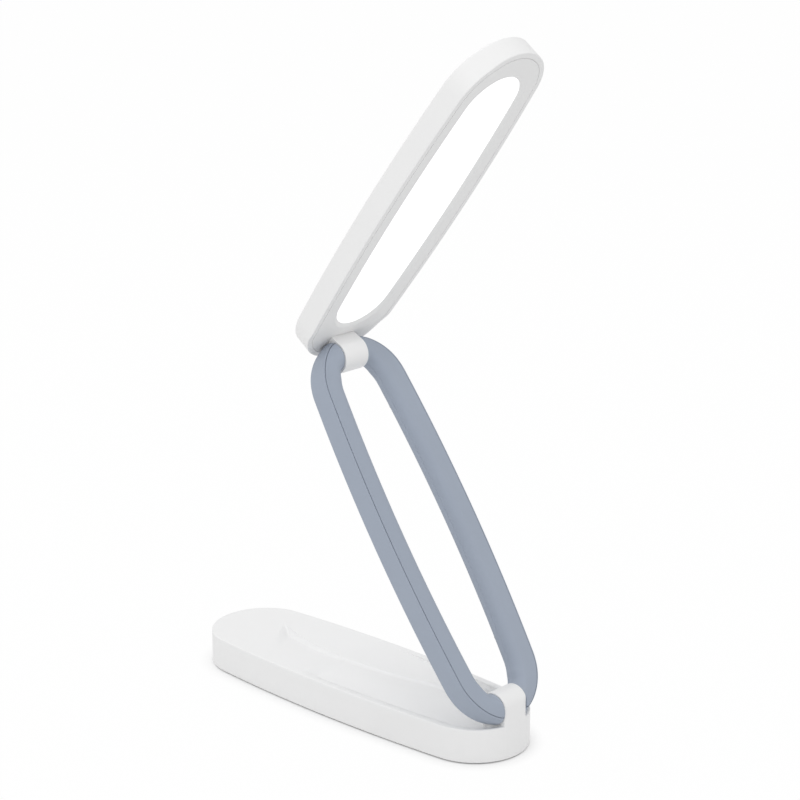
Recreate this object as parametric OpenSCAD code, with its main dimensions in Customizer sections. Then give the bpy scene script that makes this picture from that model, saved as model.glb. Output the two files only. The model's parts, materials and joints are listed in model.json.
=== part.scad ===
/* [Shared outline] */
// Length of the base, the arm and the head, which share one bowed oval outline
outline_length = 200; // [192:1:208]
// Width of that outline at its middle
outline_width = 60.7; // [59:0.1:62.5]
// Radius of the long, gently bowed sides
side_arc_radius = 840; // [700:10:1000]
// Radius of the bowed sides of the lit window
window_arc_radius = 840; // [700:10:1000]

/* [Pose] */
// Rise of the arm above the base when the lamp stands open, in degrees
arm_angle = 55.9; // [50:0.1:62]
// Direction of the head in the same plane, in degrees
head_angle = 126.9; // [120:0.1:134]

/* [Hinges] */
// Distance of the lower hinge axis from the hinge end of the base
hinge_inset = 8.04; // [7.8:0.01:8.4]
// Height of the lower hinge axis above the table
hinge_height = 25.06; // [25:0.01:25.6]
// Distance from each hinge axis to that end of the arm
arm_overhang = 7.6; // [7.5:0.05:7.9]
// Distance from the upper hinge axis to the near end of the head
head_overhang = 8.55; // [8.5:0.05:8.7]
// Distance from the upper hinge axis to the lit face
lit_face_drop = 7.45; // [7.45:0.01:7.9]
// Half of the width of each knuckle between the two arm barrels
knuckle_half_width = 7.75; // [7.5:0.05:7.9]
// Play for each thrust washer between knuckle and barrel, both faces together
washer_play = 0.2; // [0.16:0.02:0.24]
// Thickness of each thrust washer
washer_thickness = 0.3; // [0.25:0.05:0.35]
// Radius of each thrust washer
washer_radius = 5.6; // [5:0.1:6]
// Radius of the base knuckle
base_knuckle_radius = 7.9; // [7.7:0.05:8]
// Radius of the head knuckle
head_knuckle_radius = 8.6; // [8.2:0.05:8.7]
// Reach of each knuckle foot past its axis
knuckle_foot = 6.5; // [6:0.1:6.8]
// Radius of the arm barrels
barrel_radius = 7.2; // [6.8:0.05:7.2]
// Length of each arm barrel
barrel_length = 5; // [4.5:0.1:5.2]
// Radius of the hinge pins
pin_radius = 2.5; // [2.3:0.05:2.6]
// Radius of the wire way through each hinge pin
pin_bore_radius = 1.45; // [1.3:0.05:1.5]
// Radial clearance of each pin in its barrels
pin_fit = 0.02; // [0.01:0.01:0.04]
// Radial clearance of each pin in its friction clips
clip_fit = 0.03; // [0.02:0.01:0.05]
// Outer radius of the friction clips
clip_radius = 4.4; // [4.2:0.05:4.6]
// Length of each friction clip
clip_length = 5; // [4.6:0.1:5.2]
// Width of the slit along each friction clip
clip_slit = 0.8; // [0.6:0.1:1]

/* [Base] */
// Height of the base top above the table
base_top = 17.75; // [17.5:0.05:17.8]
// Gap under the base shell that the feet hold open
foot_gap = 0.8; // [0.6:0.05:0.9]
// Thickness of the base side wall
base_wall = 2.2; // [2:0.1:2.4]
// Thickness of the thin lower lip around the bottom cover
base_lip = 1.4; // [1.2:0.1:1.5]
// Height of the main hollow's ceiling above the table
base_ceiling = 11.6; // [11.4:0.1:11.8]
// Thickness of the top over the touch area
touch_wall = 2.1; // [1.8:0.1:2.2]
// Thickness of the bottom cover
cover_thickness = 2; // [1.8:0.1:2.1]
// Gap around the bottom cover and the other inset plates
plate_gap = 0.15; // [0.1:0.01:0.2]
// Rim left beside the recess along the sides
side_rim = 4; // [3.4:0.1:4.6]
// Rim left beside the recess at the hinge end
end_rim = 1.6; // [1.4:0.1:1.7]
// Fall of the recess floor toward the hinge, in degrees
ramp_fall = 2.35; // [2.2:0.05:2.5]
// Distance from the middle of the base at which the floor begins to fall
ramp_start = 3; // [0:0.5:5]
// Radius of the curved wall across the recess
ridge_radius = 138; // [130:1:150]
// Sideways position of the middle of that wall
ridge_offset = 0.2; // [0:0.1:1]
// Lengthwise position of the middle of that wall
ridge_place = 15; // [12:0.5:18]
// Slope of the finger scoop, in degrees
scoop_slope = 6.8; // [6:0.1:7]
// Slant of the far end of the scoop, in degrees
scoop_slant = 34.5; // [30:0.5:38]
// Distance of the scoop's far corner from the far end of the base
scoop_inset = 30; // [29:0.5:34]
// Lengthwise position where the scoop meets the crowned pad
crown_start = 12; // [8:0.5:14]
// Distance of the crowned floor's edge from the hinge end of the base
crown_inset = 20; // [19:0.5:21]
// Radius of the crowned pad across the base
crown_radius = 60; // [50:1:70]
// Sideways position of the pad's crest
crown_offset = 6; // [4:0.5:8]
// Depth of the pad's crest below the rim
crown_drop = 0.6; // [0.5:0.05:0.8]
// Fall of the pad toward the hinge, in degrees
crown_fall = 1; // [0.8:0.05:1.2]
// Sideways place of the base screws
base_screw_side = 20; // [19.5:0.1:20.5]
// Distance of the base screws from the ends of the base
base_screw_inset = 55; // [54:0.5:56]
// Radius of the base screw bosses
base_boss_radius = 3; // [2.8:0.1:3.1]
// Radius of the base screw shanks
base_screw_radius = 1.25; // [1.1:0.05:1.3]
// Radius of the base screw heads
base_head_radius = 2.5; // [2.3:0.1:2.6]
// Thickness of the base screw heads
base_head_thickness = 1.1; // [1:0.05:1.2]
// Length of the base screw shanks
base_screw_length = 7; // [6:0.1:7.4]
// Sideways place of the feet
foot_side = 15; // [14:0.5:16]
// Distance of the feet from the ends of the base
foot_inset = 28; // [26:0.5:30]
// Radius of the feet
foot_radius = 5.5; // [5:0.1:6]
// Depth of the pocket that holds each foot
foot_pocket = 0.6; // [0.5:0.05:0.8]

/* [Base contents] */
// Thickness of the steel ballast plate
ballast_thickness = 3; // [2.6:0.1:3.1]
// Width of the ballast plate
ballast_width = 49; // [46:0.5:50]
// Distance of the ballast from the hinge end of the base
ballast_hinge_inset = 24; // [22:1:30]
// Distance of the ballast from the far end of the base
ballast_far_inset = 60; // [59:1:64]
// Width of the battery
battery_width = 33; // [31:0.5:33.2]
// Length of the base that the battery leaves free, both ends together
battery_end_room = 132; // [130:0.5:136]
// Thickness of the battery
battery_thickness = 4.8; // [4.4:0.1:5]
// Lengthwise place of the battery's middle
battery_place = 3; // [2:0.5:4]
// Rounding of the battery's corners
battery_corner = 2; // [1.5:0.1:2.5]
// Width of the control board
board_width = 28; // [26:0.5:28.5]
// Length of the control board
board_length = 44; // [42:0.5:45]
// Thickness of the circuit boards
board_thickness = 1.2; // [1:0.05:1.3]
// Height of the control board's underside above the table
board_height = 6.4; // [6.2:0.05:6.6]
// Distance of the control board's edge from the far end of the base
board_inset = 7.7; // [7.4:0.1:8]
// Distance of the control board's tongue from the far end of the base
board_tongue_inset = 3.6; // [3.4:0.1:4]
// Width left on that tongue beside the charging socket
tongue_margin = 1.4; // [1:0.1:1.5]
// Radius of the posts under the control board
board_post_radius = 1.8; // [1.6:0.1:2]
// Distance of those posts from the board's edges
board_post_inset = 3; // [2.6:0.1:3.4]
// Outer width of the charging socket
socket_width = 8.94; // [8.9:0.01:9]
// Outer height of the charging socket
socket_height = 3.26; // [3.2:0.01:3.3]
// Length of the charging socket
socket_length = 7.3; // [7:0.05:7.35]
// Wall of the charging socket
socket_wall = 0.3; // [0.25:0.01:0.35]
// Depth of the charging socket's mouth
socket_depth = 6.2; // [6:0.05:6.4]
// Thickness of the contact tongue in the socket
tongue_thickness = 0.7; // [0.6:0.02:0.8]
// Width of the contact tongue in the socket
tongue_width = 6.7; // [6.4:0.05:6.8]
// Length of the contact tongue in the socket
tongue_length = 4.6; // [4.4:0.05:4.8]
// Gap around the charging socket in the base wall
socket_gap = 0.2; // [0.15:0.01:0.3]
// Distance of the socket's mouth inside the end of the base
socket_inset = 0.3; // [0.25:0.05:0.4]
// Radius of the touch plate
touch_radius = 8; // [7:0.1:9]
// Thickness of the touch plate
touch_thickness = 0.3; // [0.2:0.02:0.4]
// Distance of the touch plate's middle from the far end of the base
touch_inset = 20; // [18:0.5:21]
// Outer radius of the touch spring
touch_spring_radius = 2.4; // [2:0.1:2.8]
// Thickness of the touch spring's coil
touch_spring_wall = 0.5; // [0.4:0.05:0.6]
// Length of the tall hollow under the touch area
touch_hollow = 24; // [22:0.5:25]
// Width of the tall hollow under the touch area
touch_hollow_width = 26; // [24:0.5:27]

/* [Arm] */
// Width of the arm's tube across the face
tube_width = 12.6; // [12.4:0.05:13]
// Thickness of the arm
arm_thickness = 11.72; // [11.6:0.02:11.8]
// Rounding of the arm's inner edges
tube_round = 4.6; // [4.2:0.05:4.8]
// Thickness of the arm's outer wall
arm_outer_wall = 1.8; // [1.7:0.05:1.9]
// Thickness of the arm's other walls
arm_wall = 1.6; // [1.5:0.05:1.7]
// Width of the groove between the arm's front cover and its outer wall
groove_width = 0.35; // [0.3:0.05:0.4]
// Height of the thicker corner inside the rounded edges
corner_rise = 2.9; // [2.7:0.1:3.1]
// Width of that thicker corner
corner_reach = 3.5; // [3.3:0.1:3.7]
// Width of the ledge behind that groove
ledge_width = 0.9; // [0.8:0.05:1]
// Gap where the two arm shells meet
shell_gap = 0.08; // [0.06:0.01:0.12]
// Thickness of the web that closes each tube beside its knuckle
end_web = 1.8; // [1.6:0.1:2]
// Distance of the arm screws from the hinge axes
arm_screw_inset = 30.4; // [27:0.1:34]
// Depth of the arm screws in from the outer wall
arm_screw_depth = 8.4; // [8.3:0.05:8.5]
// Radius of the arm screw bosses
arm_boss_radius = 2; // [1.9:0.05:2.1]
// Radius of the arm screw shanks
arm_screw_radius = 0.9; // [0.8:0.05:1]
// Radius of the arm screw heads
arm_head_radius = 1.7; // [1.6:0.05:1.75]
// Thickness of the arm screw heads
arm_head_thickness = 1; // [0.9:0.05:1.05]
// Length of the arm screw shanks
arm_screw_length = 5.5; // [5:0.1:5.8]

/* [Head] */
// Thickness of the head
head_thickness = 10.81; // [10.6:0.05:11]
// Thickness of the head's side wall
head_wall = 1.5; // [1.4:0.05:1.6]
// Thickness of the head's back wall
head_back = 1.6; // [1.5:0.05:1.7]
// Width of the groove between the head's side wall and its face frame
head_groove = 0.3; // [0.25:0.01:0.35]
// Width of the ledge inside the side wall that the face frame rests on
head_ledge = 1.1; // [1:0.05:1.2]
// Thickness of the face frame
frame_thickness = 2; // [1.9:0.05:2.1]
// Distance from the upper hinge axis to the lit window
window_near = 15.05; // [14.8:0.05:15.5]
// Width of the face beside the lit window
window_side = 11.35; // [10.8:0.05:12]
// Width of the face beyond the far end of the lit window
window_far = 14.6; // [14:0.05:15]
// Gap between the diffuser and the frame
diffuser_gap = 0.12; // [0.1:0.01:0.15]
// Thickness of the diffuser
diffuser_thickness = 3; // [2.9:0.05:3.1]
// Reach of the diffuser's rim behind the frame
diffuser_rim = 1.6; // [1.5:0.05:1.7]
// Thickness of the diffuser's rim
diffuser_rim_thickness = 0.9; // [0.8:0.02:0.9]
// Thickness of the reflector tray's wall
tray_wall = 0.8; // [0.7:0.05:0.9]
// Gap between parts stacked in the head
stack_gap = 0.05; // [0.04:0.01:0.08]
// Length that the light board leaves free at each end of the window
light_board_margin = 7.9; // [7:0.1:9]
// Width of the light board
light_board_width = 22; // [21:0.5:23]
// Thickness of the light board
light_board_thickness = 1; // [0.9:0.05:1.1]
// Height of the light board above the head's back wall
light_board_stand = 0.4; // [0.3:0.05:0.5]
// Number of light chips in each row
chips_per_row = 14; // [12:1:16]
// Length that the light chips leave free at each end of their board
chip_margin = 6.25; // [5.8:0.05:7]
// Spacing of the two rows of light chips
chip_row_spacing = 12; // [11:0.5:13]
// Length of a light chip
chip_length = 3.5; // [3:0.1:3.6]
// Width of a light chip
chip_width = 2.8; // [2.5:0.1:3]
// Thickness of a light chip
chip_thickness = 0.7; // [0.6:0.05:0.8]
// Radius of the light board's screw shanks
board_screw_radius = 0.8; // [0.7:0.05:0.9]
// Radius of the light board's screw heads
board_head_radius = 1.5; // [1.4:0.05:1.6]
// Thickness of the light board's screw heads
board_head_thickness = 0.7; // [0.6:0.05:0.8]
// Distance of the light board's screws from its ends
board_screw_inset = 1.9; // [1.8:0.05:2]
// Width of the foot plate inside the head
strap_plate_width = 24; // [23.5:0.1:24.2]
// Length of the foot plate beyond the knuckle foot
strap_plate_reach = 1.6; // [1.4:0.1:1.7]
// Distance of the foot plate's other edge behind the axis
strap_plate_back = 2.5; // [2:0.1:2.6]
// Distance of the knuckle stem's back behind the axis
strap_stem_back = 4.6; // [4.2:0.1:4.7]
// Thickness of the foot plate inside the head
strap_plate_thickness = 2; // [1.8:0.05:2.2]
// Gap between the head knuckle and the face frame
strap_gap = 0.1; // [0.08:0.01:0.15]
// Sideways place of the foot plate's screws
strap_screw_side = 9.8; // [9.6:0.05:10]
// Lengthwise place of the foot plate's screws
strap_screw_along = 2; // [1:0.1:3]
// Radius of the foot plate's screw bosses
strap_boss_radius = 2.2; // [2:0.05:2.4]

/* [Leads] */
// Radius of the leads
lead_radius = 1; // [0.9:0.05:1.05]
// Reach of each round bend in the leads
lead_bend = 3; // [2:0.5:3]
// Radius of the lead's way through each knuckle
lead_way_radius = 1.3; // [1.2:0.05:1.4]
// Gap between the base lead and the screw bosses
lead_boss_gap = 3.25; // [2:0.25:4]
// Gap between the base lead and the battery
lead_battery_gap = 0.7; // [0.6:0.05:0.8]
// Length of the base lead's straight run before the screw bosses
lead_boss_run = 23; // [20:0.5:25]
// Distance of the base lead's bends from the battery's ends
lead_battery_room = 5.5; // [5:0.25:7]
// Distance of the base lead's end from the battery
lead_board_run = 15; // [14:0.5:16]
// Distance of the arm lead in from the outer wall
arm_lead_depth = 4.7; // [4.6:0.05:4.8]

/* [Hidden] */

$fn = 64;
arc_facets = 1440;
end_facets = 180;

white = [0.93, 0.93, 0.93];
slate = [0.53, 0.57, 0.63];
steel = [0.72, 0.73, 0.75];
dark = [0.16, 0.16, 0.17];

overrun = 1;
edge_overlap = 1;
half_length = outline_length / 2;
half_width = outline_width / 2;
hinge_setback = half_length - hinge_inset;
touch_place = half_length - touch_inset;
board_edge = half_length - board_inset;
board_tongue = half_length - board_tongue_inset;
foot_along = half_length - foot_inset;
base_screw_along = half_length - base_screw_inset;
scoop_reach = half_length - scoop_inset;
crown_end = half_length - crown_inset;
battery_length = outline_length - battery_end_room;
ballast_hinge_end = half_length - ballast_hinge_inset;
ballast_far_end = half_length - ballast_far_inset;
half_arm = arm_thickness / 2;
front_depth = arm_outer_wall + groove_width;
axis_distance = outline_length - 2 * arm_overhang;
upper_y = -hinge_setback + axis_distance * cos(arm_angle);
upper_z = hinge_height + axis_distance * sin(arm_angle);
head_middle = half_length - head_overhang;
window_length = outline_length - head_overhang - window_near - window_far;
window_width = outline_width - 2 * window_side;
window_place = window_near + window_length / 2;
light_board_length = window_length - 2 * light_board_margin;
chip_spacing = (light_board_length - chip_length - 2 * chip_margin) / (chips_per_row - 1);
arm_screw_along = axis_distance / 2 - arm_screw_inset;
slot_half = knuckle_half_width + washer_thickness + washer_play;
barrel_end = slot_half + barrel_length;
cover_top = foot_gap + cover_thickness;
lit_level = -lit_face_drop;
head_floor = lit_level - head_thickness + head_back;

// A bowed oval has two side arcs that run on smoothly into two end arcs
function end_centre(l, w, r) = (pow(r - w, 2) - pow(r - l, 2)) / (2 * (r - l));
function join_angle(l, w, r) = atan2(end_centre(l, w, r), r - w);
c_end = end_centre(half_length, half_width, side_arc_radius);
r_end = half_length - c_end;
a_join = join_angle(half_length, half_width, side_arc_radius);

// Sideways place on the shared outline at a distance along it and a depth in from it
function side_place(along, depth) =
    sqrt(pow(side_arc_radius - depth, 2) - pow(along, 2)) - (side_arc_radius - half_width);

module oval(l, w, r, inset = 0) {
    c = end_centre(l, w, r);
    small = l - c - inset;
    join = c + small * sin(join_angle(l, w, r));
    intersection() {
        translate([r - w, 0]) circle(r = r - inset, $fn = arc_facets);
        translate([w - r, 0]) circle(r = r - inset, $fn = arc_facets);
        translate([inset - w, -join]) square([2 * (w - inset), 2 * join]);
    }
    for (side = [-1, 1]) translate([0, side * c]) circle(r = small, $fn = end_facets);
}

module outline(inset = 0) {
    oval(half_length, half_width, side_arc_radius, inset);
}

module slab(low, high, inset = 0) {
    translate([0, 0, low]) linear_extrude(high - low) outline(inset);
}

module rod(low, high, radius) {
    translate([0, 0, low]) cylinder(h = high - low, r = radius);
}

// A cylinder along the hinge axis direction
module cross_rod(from, to, radius) {
    translate([from, 0, 0]) rotate([0, 90, 0]) cylinder(h = to - from, r = radius);
}

module box(x, y, z) {
    translate([x[0], y[0], z[0]]) cube([x[1] - x[0], y[1] - y[0], z[1] - z[0]]);
}

// Lays a profile drawn in the length and height directions across the width
module across(half) {
    translate([-half, 0, 0]) rotate([90, 0, 90]) linear_extrude(2 * half) children();
}

module at_lower() {
    translate([0, -hinge_setback, hinge_height]) children();
}

module at_upper() {
    translate([0, upper_y, upper_z]) children();
}

module place_arm() {
    at_lower() rotate([arm_angle, 0, 0]) translate([0, axis_distance / 2, 0]) children();
}

module place_head() {
    at_upper() rotate([head_angle, 0, 0]) children();
}

// Points across each round bend of a lead, as shares of the bend
bend_shares = [0, 0.25, 0.5, 0.75, 1];
lead_sides = 12;

function unit(v) = v / norm(v);
function bend_point(a, b, c, t) = pow(1 - t, 2) * a + 2 * t * (1 - t) * b + pow(t, 2) * c;
function bend_end(corner, other) = corner + min(lead_bend, norm(other - corner) / 2) * unit(other - corner);

// The straight route of a lead with its corners rounded
function rounded_route(p) = concat([p[0]], [
    for (i = [1 : len(p) - 2]) for (t = bend_shares)
        bend_point(bend_end(p[i], p[i - 1]), p[i], bend_end(p[i], p[i + 1]), t)
], [p[len(p) - 1]]);

function heading(p, i) =
    let (before = p[max(i - 1, 0)], after = p[min(i + 1, len(p) - 1)]) unit(after - before);

// One unbroken round lead along a route, with its rings turned by a fixed direction
module lead(points, reference) {
    p = rounded_route(points);
    last = len(p) - 1;
    rings = [for (i = [0 : last])
        let (t = heading(p, i), side = unit(cross(t, reference)), up = cross(side, t))
        for (k = [0 : lead_sides - 1])
            p[i] + lead_radius * (cos(360 * k / lead_sides) * side + sin(360 * k / lead_sides) * up)];
    walls = [for (i = [0 : last - 1], k = [0 : lead_sides - 1])
        let (a = i * lead_sides + k, b = i * lead_sides + (k + 1) % lead_sides)
        each [[a, a + lead_sides, b + lead_sides], [a, b + lead_sides, b]]];
    ends = [
        for (k = [1 : lead_sides - 2]) [0, k, k + 1],
        for (k = [1 : lead_sides - 2])
            [last * lead_sides, last * lead_sides + k + 1, last * lead_sides + k]
    ];
    polyhedron(points = rings, faces = concat(walls, ends));
}

// Round knuckle profile on a tapered foot, drawn with the hinge axis at its origin
module knuckle_profile(radius, foot_depth, root_depth) {
    reach = norm([knuckle_foot, foot_depth]);
    touch = acos(radius / reach) - atan2(foot_depth, knuckle_foot);
    circle(r = radius);
    polygon([
        [-radius, 0], [0, 0],
        [radius * cos(touch), radius * sin(touch)],
        [knuckle_foot, -foot_depth], [knuckle_foot, -root_depth], [-radius, -root_depth]
    ]);
}

module recess_plan() {
    oval(half_length - end_rim, half_width - side_rim, side_arc_radius);
}

// The recess floor lies flat at the rim, then falls toward the hinge
module ramp_cut() {
    intersection() {
        translate([0, 0, base_ceiling]) linear_extrude(base_top) recess_plan();
        translate([0, ramp_start, base_top]) rotate([ramp_fall, 0, 0])
            box([-half_width, half_width], [-outline_length, 0], [0, base_top]);
    }
}

// The near side of the recess, up to the curved wall
module near_plan(from, to) {
    difference() {
        intersection() {
            recess_plan();
            translate([-half_width, from]) square([outline_width, to - from]);
        }
        translate([ridge_radius + ridge_offset, ridge_place]) circle(r = ridge_radius, $fn = arc_facets);
    }
}

ridge_bow = ridge_radius - sqrt(pow(ridge_radius, 2) - pow(scoop_reach - ridge_place, 2));
scoop_corner = [ridge_offset + ridge_bow, scoop_reach];

module scoop_cut() {
    intersection() {
        translate([0, 0, base_ceiling]) linear_extrude(base_top) near_plan(crown_start, half_length);
        translate([side_rim - half_width, 0, base_top]) rotate([0, scoop_slope, 0])
            box([0, outline_width], [0, outline_length], [0, base_top]);
        translate([scoop_corner[0], scoop_corner[1], 0]) rotate([0, 0, scoop_slant])
            box([-outline_length, outline_length], [-outline_length, 0], [0, 2 * base_top]);
    }
}

module crown_cut() {
    difference() {
        translate([0, 0, base_ceiling]) linear_extrude(base_top) near_plan(-crown_end, crown_start);
        translate([-crown_offset, crown_start, base_top - crown_drop - crown_radius])
            rotate([90 + crown_fall, 0, 0]) translate([0, 0, -crown_radius])
                cylinder(h = outline_length, r = crown_radius, $fn = arc_facets);
    }
}

module each_base_screw() {
    for (x = [-1, 1], y = [-1, 1]) translate([x * base_screw_side, y * base_screw_along, 0]) children();
}

board_top = board_height + board_thickness;
socket_level = board_top + socket_height / 2;

module socket_shape(grow, from, to) {
    half = socket_height / 2 + grow;
    translate([0, 0, socket_level]) rotate([-90, 0, 0]) translate([0, 0, from]) linear_extrude(to - from) {
        square([socket_width - socket_height, 2 * half], center = true);
        for (side = [-1, 1]) translate([side * (socket_width - socket_height) / 2, 0]) circle(r = half);
    }
}

board_middle = board_edge - board_length / 2;
post_x = board_width / 2 - board_post_inset;
post_y = board_length / 2 - board_post_inset;
cover_floor = cover_top + plate_gap;
socket_mouth = half_length - socket_inset;

module base_housing() color(white) difference() {
    union() {
        difference() {
            slab(foot_gap, base_top);
            slab(foot_gap - overrun, cover_floor, base_lip);
            slab(foot_gap, base_ceiling, base_wall);
            box([-touch_hollow_width / 2, touch_hollow_width / 2],
                [touch_place - touch_hollow / 2, touch_place + touch_hollow / 2],
                [base_ceiling - overrun, base_top - touch_wall]);
            ramp_cut();
            scoop_cut();
            crown_cut();
        }
        intersection() {
            at_lower() across(knuckle_half_width)
                knuckle_profile(base_knuckle_radius, hinge_height - base_top, hinge_height - base_ceiling);
            slab(foot_gap, 2 * hinge_height);
        }
        intersection() {
            each_base_screw() rod(cover_floor, base_ceiling + overrun, base_boss_radius);
            slab(foot_gap, base_top - touch_wall);
        }
    }
    at_lower() cross_rod(-half_width, half_width, clip_radius + pin_fit);
    translate([0, -hinge_setback, 0]) rod(cover_floor, hinge_height, lead_way_radius);
    each_base_screw() rod(foot_gap, cover_top + base_screw_length, base_screw_radius + pin_fit);
    socket_shape(socket_gap, socket_mouth - socket_length - overrun, half_length + overrun);
}

module base_cover() color(white) {
    difference() {
        slab(foot_gap, cover_top, base_lip + plate_gap);
        each_base_screw() {
            rod(0, cover_top + overrun, base_screw_radius + plate_gap);
            rod(0, foot_gap + base_head_thickness, base_head_radius + plate_gap);
        }
        each_foot() rod(0, foot_gap + foot_pocket, foot_radius + pin_fit);
    }
    for (x = [-post_x, post_x], y = [-post_y, post_y]) translate([x, board_middle + y, 0])
        rod(cover_top - overrun, board_height, board_post_radius);
}

module each_foot() {
    for (x = [-foot_side, foot_side], y = [-foot_along, foot_along]) translate([x, y, 0]) children();
}

module base_feet() color(dark) each_foot() rod(0, foot_gap + foot_pocket, foot_radius);

module base_screws() color(steel) each_base_screw() {
    rod(foot_gap, foot_gap + base_head_thickness, base_head_radius);
    rod(foot_gap, cover_top + base_screw_length - plate_gap, base_screw_radius);
}

module ballast_plate() color(steel) difference() {
    intersection() {
        slab(cover_floor, cover_floor + ballast_thickness, base_wall + plate_gap);
        box([-ballast_width / 2, ballast_width / 2], [-ballast_hinge_end, ballast_far_end], [0, base_top]);
    }
    each_base_screw() rod(0, base_top, base_boss_radius + plate_gap);
}

battery_floor = cover_floor + ballast_thickness;

module battery_pack() color([0.2, 0.32, 0.5]) translate([0, battery_place, battery_floor])
    linear_extrude(battery_thickness) rounded_plate(battery_width, battery_length, battery_corner);

module rounded_plate(width, length, corner) {
    square([width - 2 * corner, length], center = true);
    square([width, length - 2 * corner], center = true);
    for (x = [-1, 1], y = [-1, 1]) translate([x * (width / 2 - corner), y * (length / 2 - corner)])
        circle(r = corner);
}

tongue_half = socket_width / 2 + tongue_margin;

module control_board() color([0.1, 0.35, 0.2]) {
    box([-board_width / 2, board_width / 2], [board_edge - board_length, board_edge],
        [board_height, board_top]);
    box([-tongue_half, tongue_half], [board_middle, board_tongue], [board_height, board_top]);
}

module charging_socket() color(steel) {
    difference() {
        socket_shape(0, socket_mouth - socket_length, socket_mouth);
        socket_shape(-socket_wall, socket_mouth - socket_depth, socket_mouth + overrun);
    }
    translate([0, socket_mouth - socket_depth - socket_wall, socket_level])
        box([-tongue_width / 2, tongue_width / 2], [0, tongue_length + socket_wall],
            [-tongue_thickness / 2, tongue_thickness / 2]);
}

touch_top = base_top - touch_wall;

module touch_plate() color([0.8, 0.5, 0.3]) translate([0, touch_place, 0])
    rod(touch_top - touch_thickness, touch_top, touch_radius);

module touch_spring() color(steel) translate([0, touch_place, 0]) difference() {
    rod(board_top, touch_top - touch_thickness, touch_spring_radius);
    rod(board_height, touch_top, touch_spring_radius - touch_spring_wall);
}

battery_low = battery_place - battery_length / 2;
battery_high = battery_place + battery_length / 2;
boss_side = base_screw_side - base_boss_radius - lead_radius - lead_boss_gap;
battery_side = battery_width / 2 + lead_radius + lead_battery_gap;
base_lead_route = [
    [boss_side, -base_screw_along - lead_boss_run], [boss_side, -base_screw_along - base_boss_radius],
    [battery_side, battery_low - lead_battery_room], [battery_side, battery_high + lead_radius],
    [boss_side, battery_high + lead_battery_room],
    [boss_side - base_boss_radius, battery_high + lead_board_run]
];
base_lead_height = board_top + lead_radius;

module base_lead() color(dark) lead(concat(
    [[0, -hinge_setback, hinge_height - pin_radius - lead_radius], [0, -hinge_setback, base_lead_height]],
    [for (p = base_lead_route) [p[0], p[1], base_lead_height]]
), [1, 0.3, 0.6]);

module hinge_clips() for (side = [-1, 1]) mirror([(1 - side) / 2, 0, 0]) difference() {
    cross_rod(knuckle_half_width - clip_length, knuckle_half_width, clip_radius);
    cross_rod(0, half_width, pin_radius + clip_fit);
    box([0, half_width], [-clip_slit / 2, clip_slit / 2], [0, clip_radius + overrun]);
}

module hinge_washers() for (side = [-1, 1]) mirror([(1 - side) / 2, 0, 0]) difference() {
    cross_rod(knuckle_half_width + washer_play / 2, slot_half - washer_play / 2, washer_radius);
    cross_rod(0, half_width, pin_radius + clip_fit);
}

// A hollow steel pin with a side window for the lead
module hinge_pin(window_turn) difference() {
    cross_rod(-barrel_end, barrel_end, pin_radius);
    cross_rod(-half_width, half_width, pin_bore_radius);
    rotate([window_turn, 0, 0])
        box([-lead_way_radius, lead_way_radius], [-pin_radius - overrun, pin_radius + overrun],
            [0, pin_radius + overrun]);
}

module lower_clips() color(steel) at_lower() hinge_clips();
module lower_washers() color(dark) at_lower() hinge_washers();
module lower_pin() color(steel) at_lower() hinge_pin(180);
module upper_pin() color(steel) at_upper() hinge_pin(head_angle + 180);
module upper_washers() color(dark) place_head() hinge_washers();
module upper_clips() color(steel) place_head() hinge_clips();

// A band that follows the outline between two depths in from it
module band(low, high, outer, inner) {
    difference() {
        slab(low, high, outer);
        slab(low - overrun, high + overrun, inner);
    }
}

// What the rounding takes off the tube's inner edge, in depth and height
module edge_waste() {
    difference() {
        translate([-tube_width - overrun, half_arm - tube_round])
            square([tube_round + overrun, tube_round + overrun]);
        translate([tube_round - tube_width, half_arm - tube_round]) circle(r = tube_round);
    }
}

edge_join = c_end + (r_end - tube_width + tube_round / 2) * sin(a_join) + edge_overlap;

// Rounds the inner edge of one branch, on the front or on the back
module edge_cut() {
    intersection() {
        translate([half_width - side_arc_radius, 0, 0])
            rotate_extrude($fn = arc_facets) translate([side_arc_radius, 0]) edge_waste();
        box([0, half_width], [-edge_join, edge_join], [0, arm_thickness]);
    }
    for (side = [0, 1]) mirror([0, side, 0]) intersection() {
        translate([0, c_end, 0]) rotate_extrude($fn = end_facets) translate([r_end, 0]) edge_waste();
        box([0, half_width], [edge_join, half_length], [0, arm_thickness]);
    }
}

module each_arm_end() {
    for (side = [-1, 1]) translate([0, side * axis_distance / 2, 0]) children();
}

screw_x = side_place(arm_screw_along, arm_screw_depth);

module each_arm_screw() {
    for (side = [-1, 1]) translate([screw_x, side * arm_screw_along, 0]) children();
}

module beyond_slot(from) {
    box([from, outline_width], [-outline_length, outline_length], [-arm_thickness, arm_thickness]);
}

// Solid stretches that close each tube beside its knuckle
module end_blocks() {
    box([slot_half, slot_half + end_web], [-outline_length, outline_length], [-arm_thickness, arm_thickness]);
}

// What stands outside the barrels beyond the two axes
module end_waste() {
    for (side = [0, 1]) mirror([0, side, 0]) difference() {
        box([0, barrel_end], [half_axis, outline_length], [-arm_thickness, arm_thickness]);
        translate([0, half_axis, 0]) cross_rod(0, barrel_end + overrun, barrel_radius);
    }
}

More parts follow.
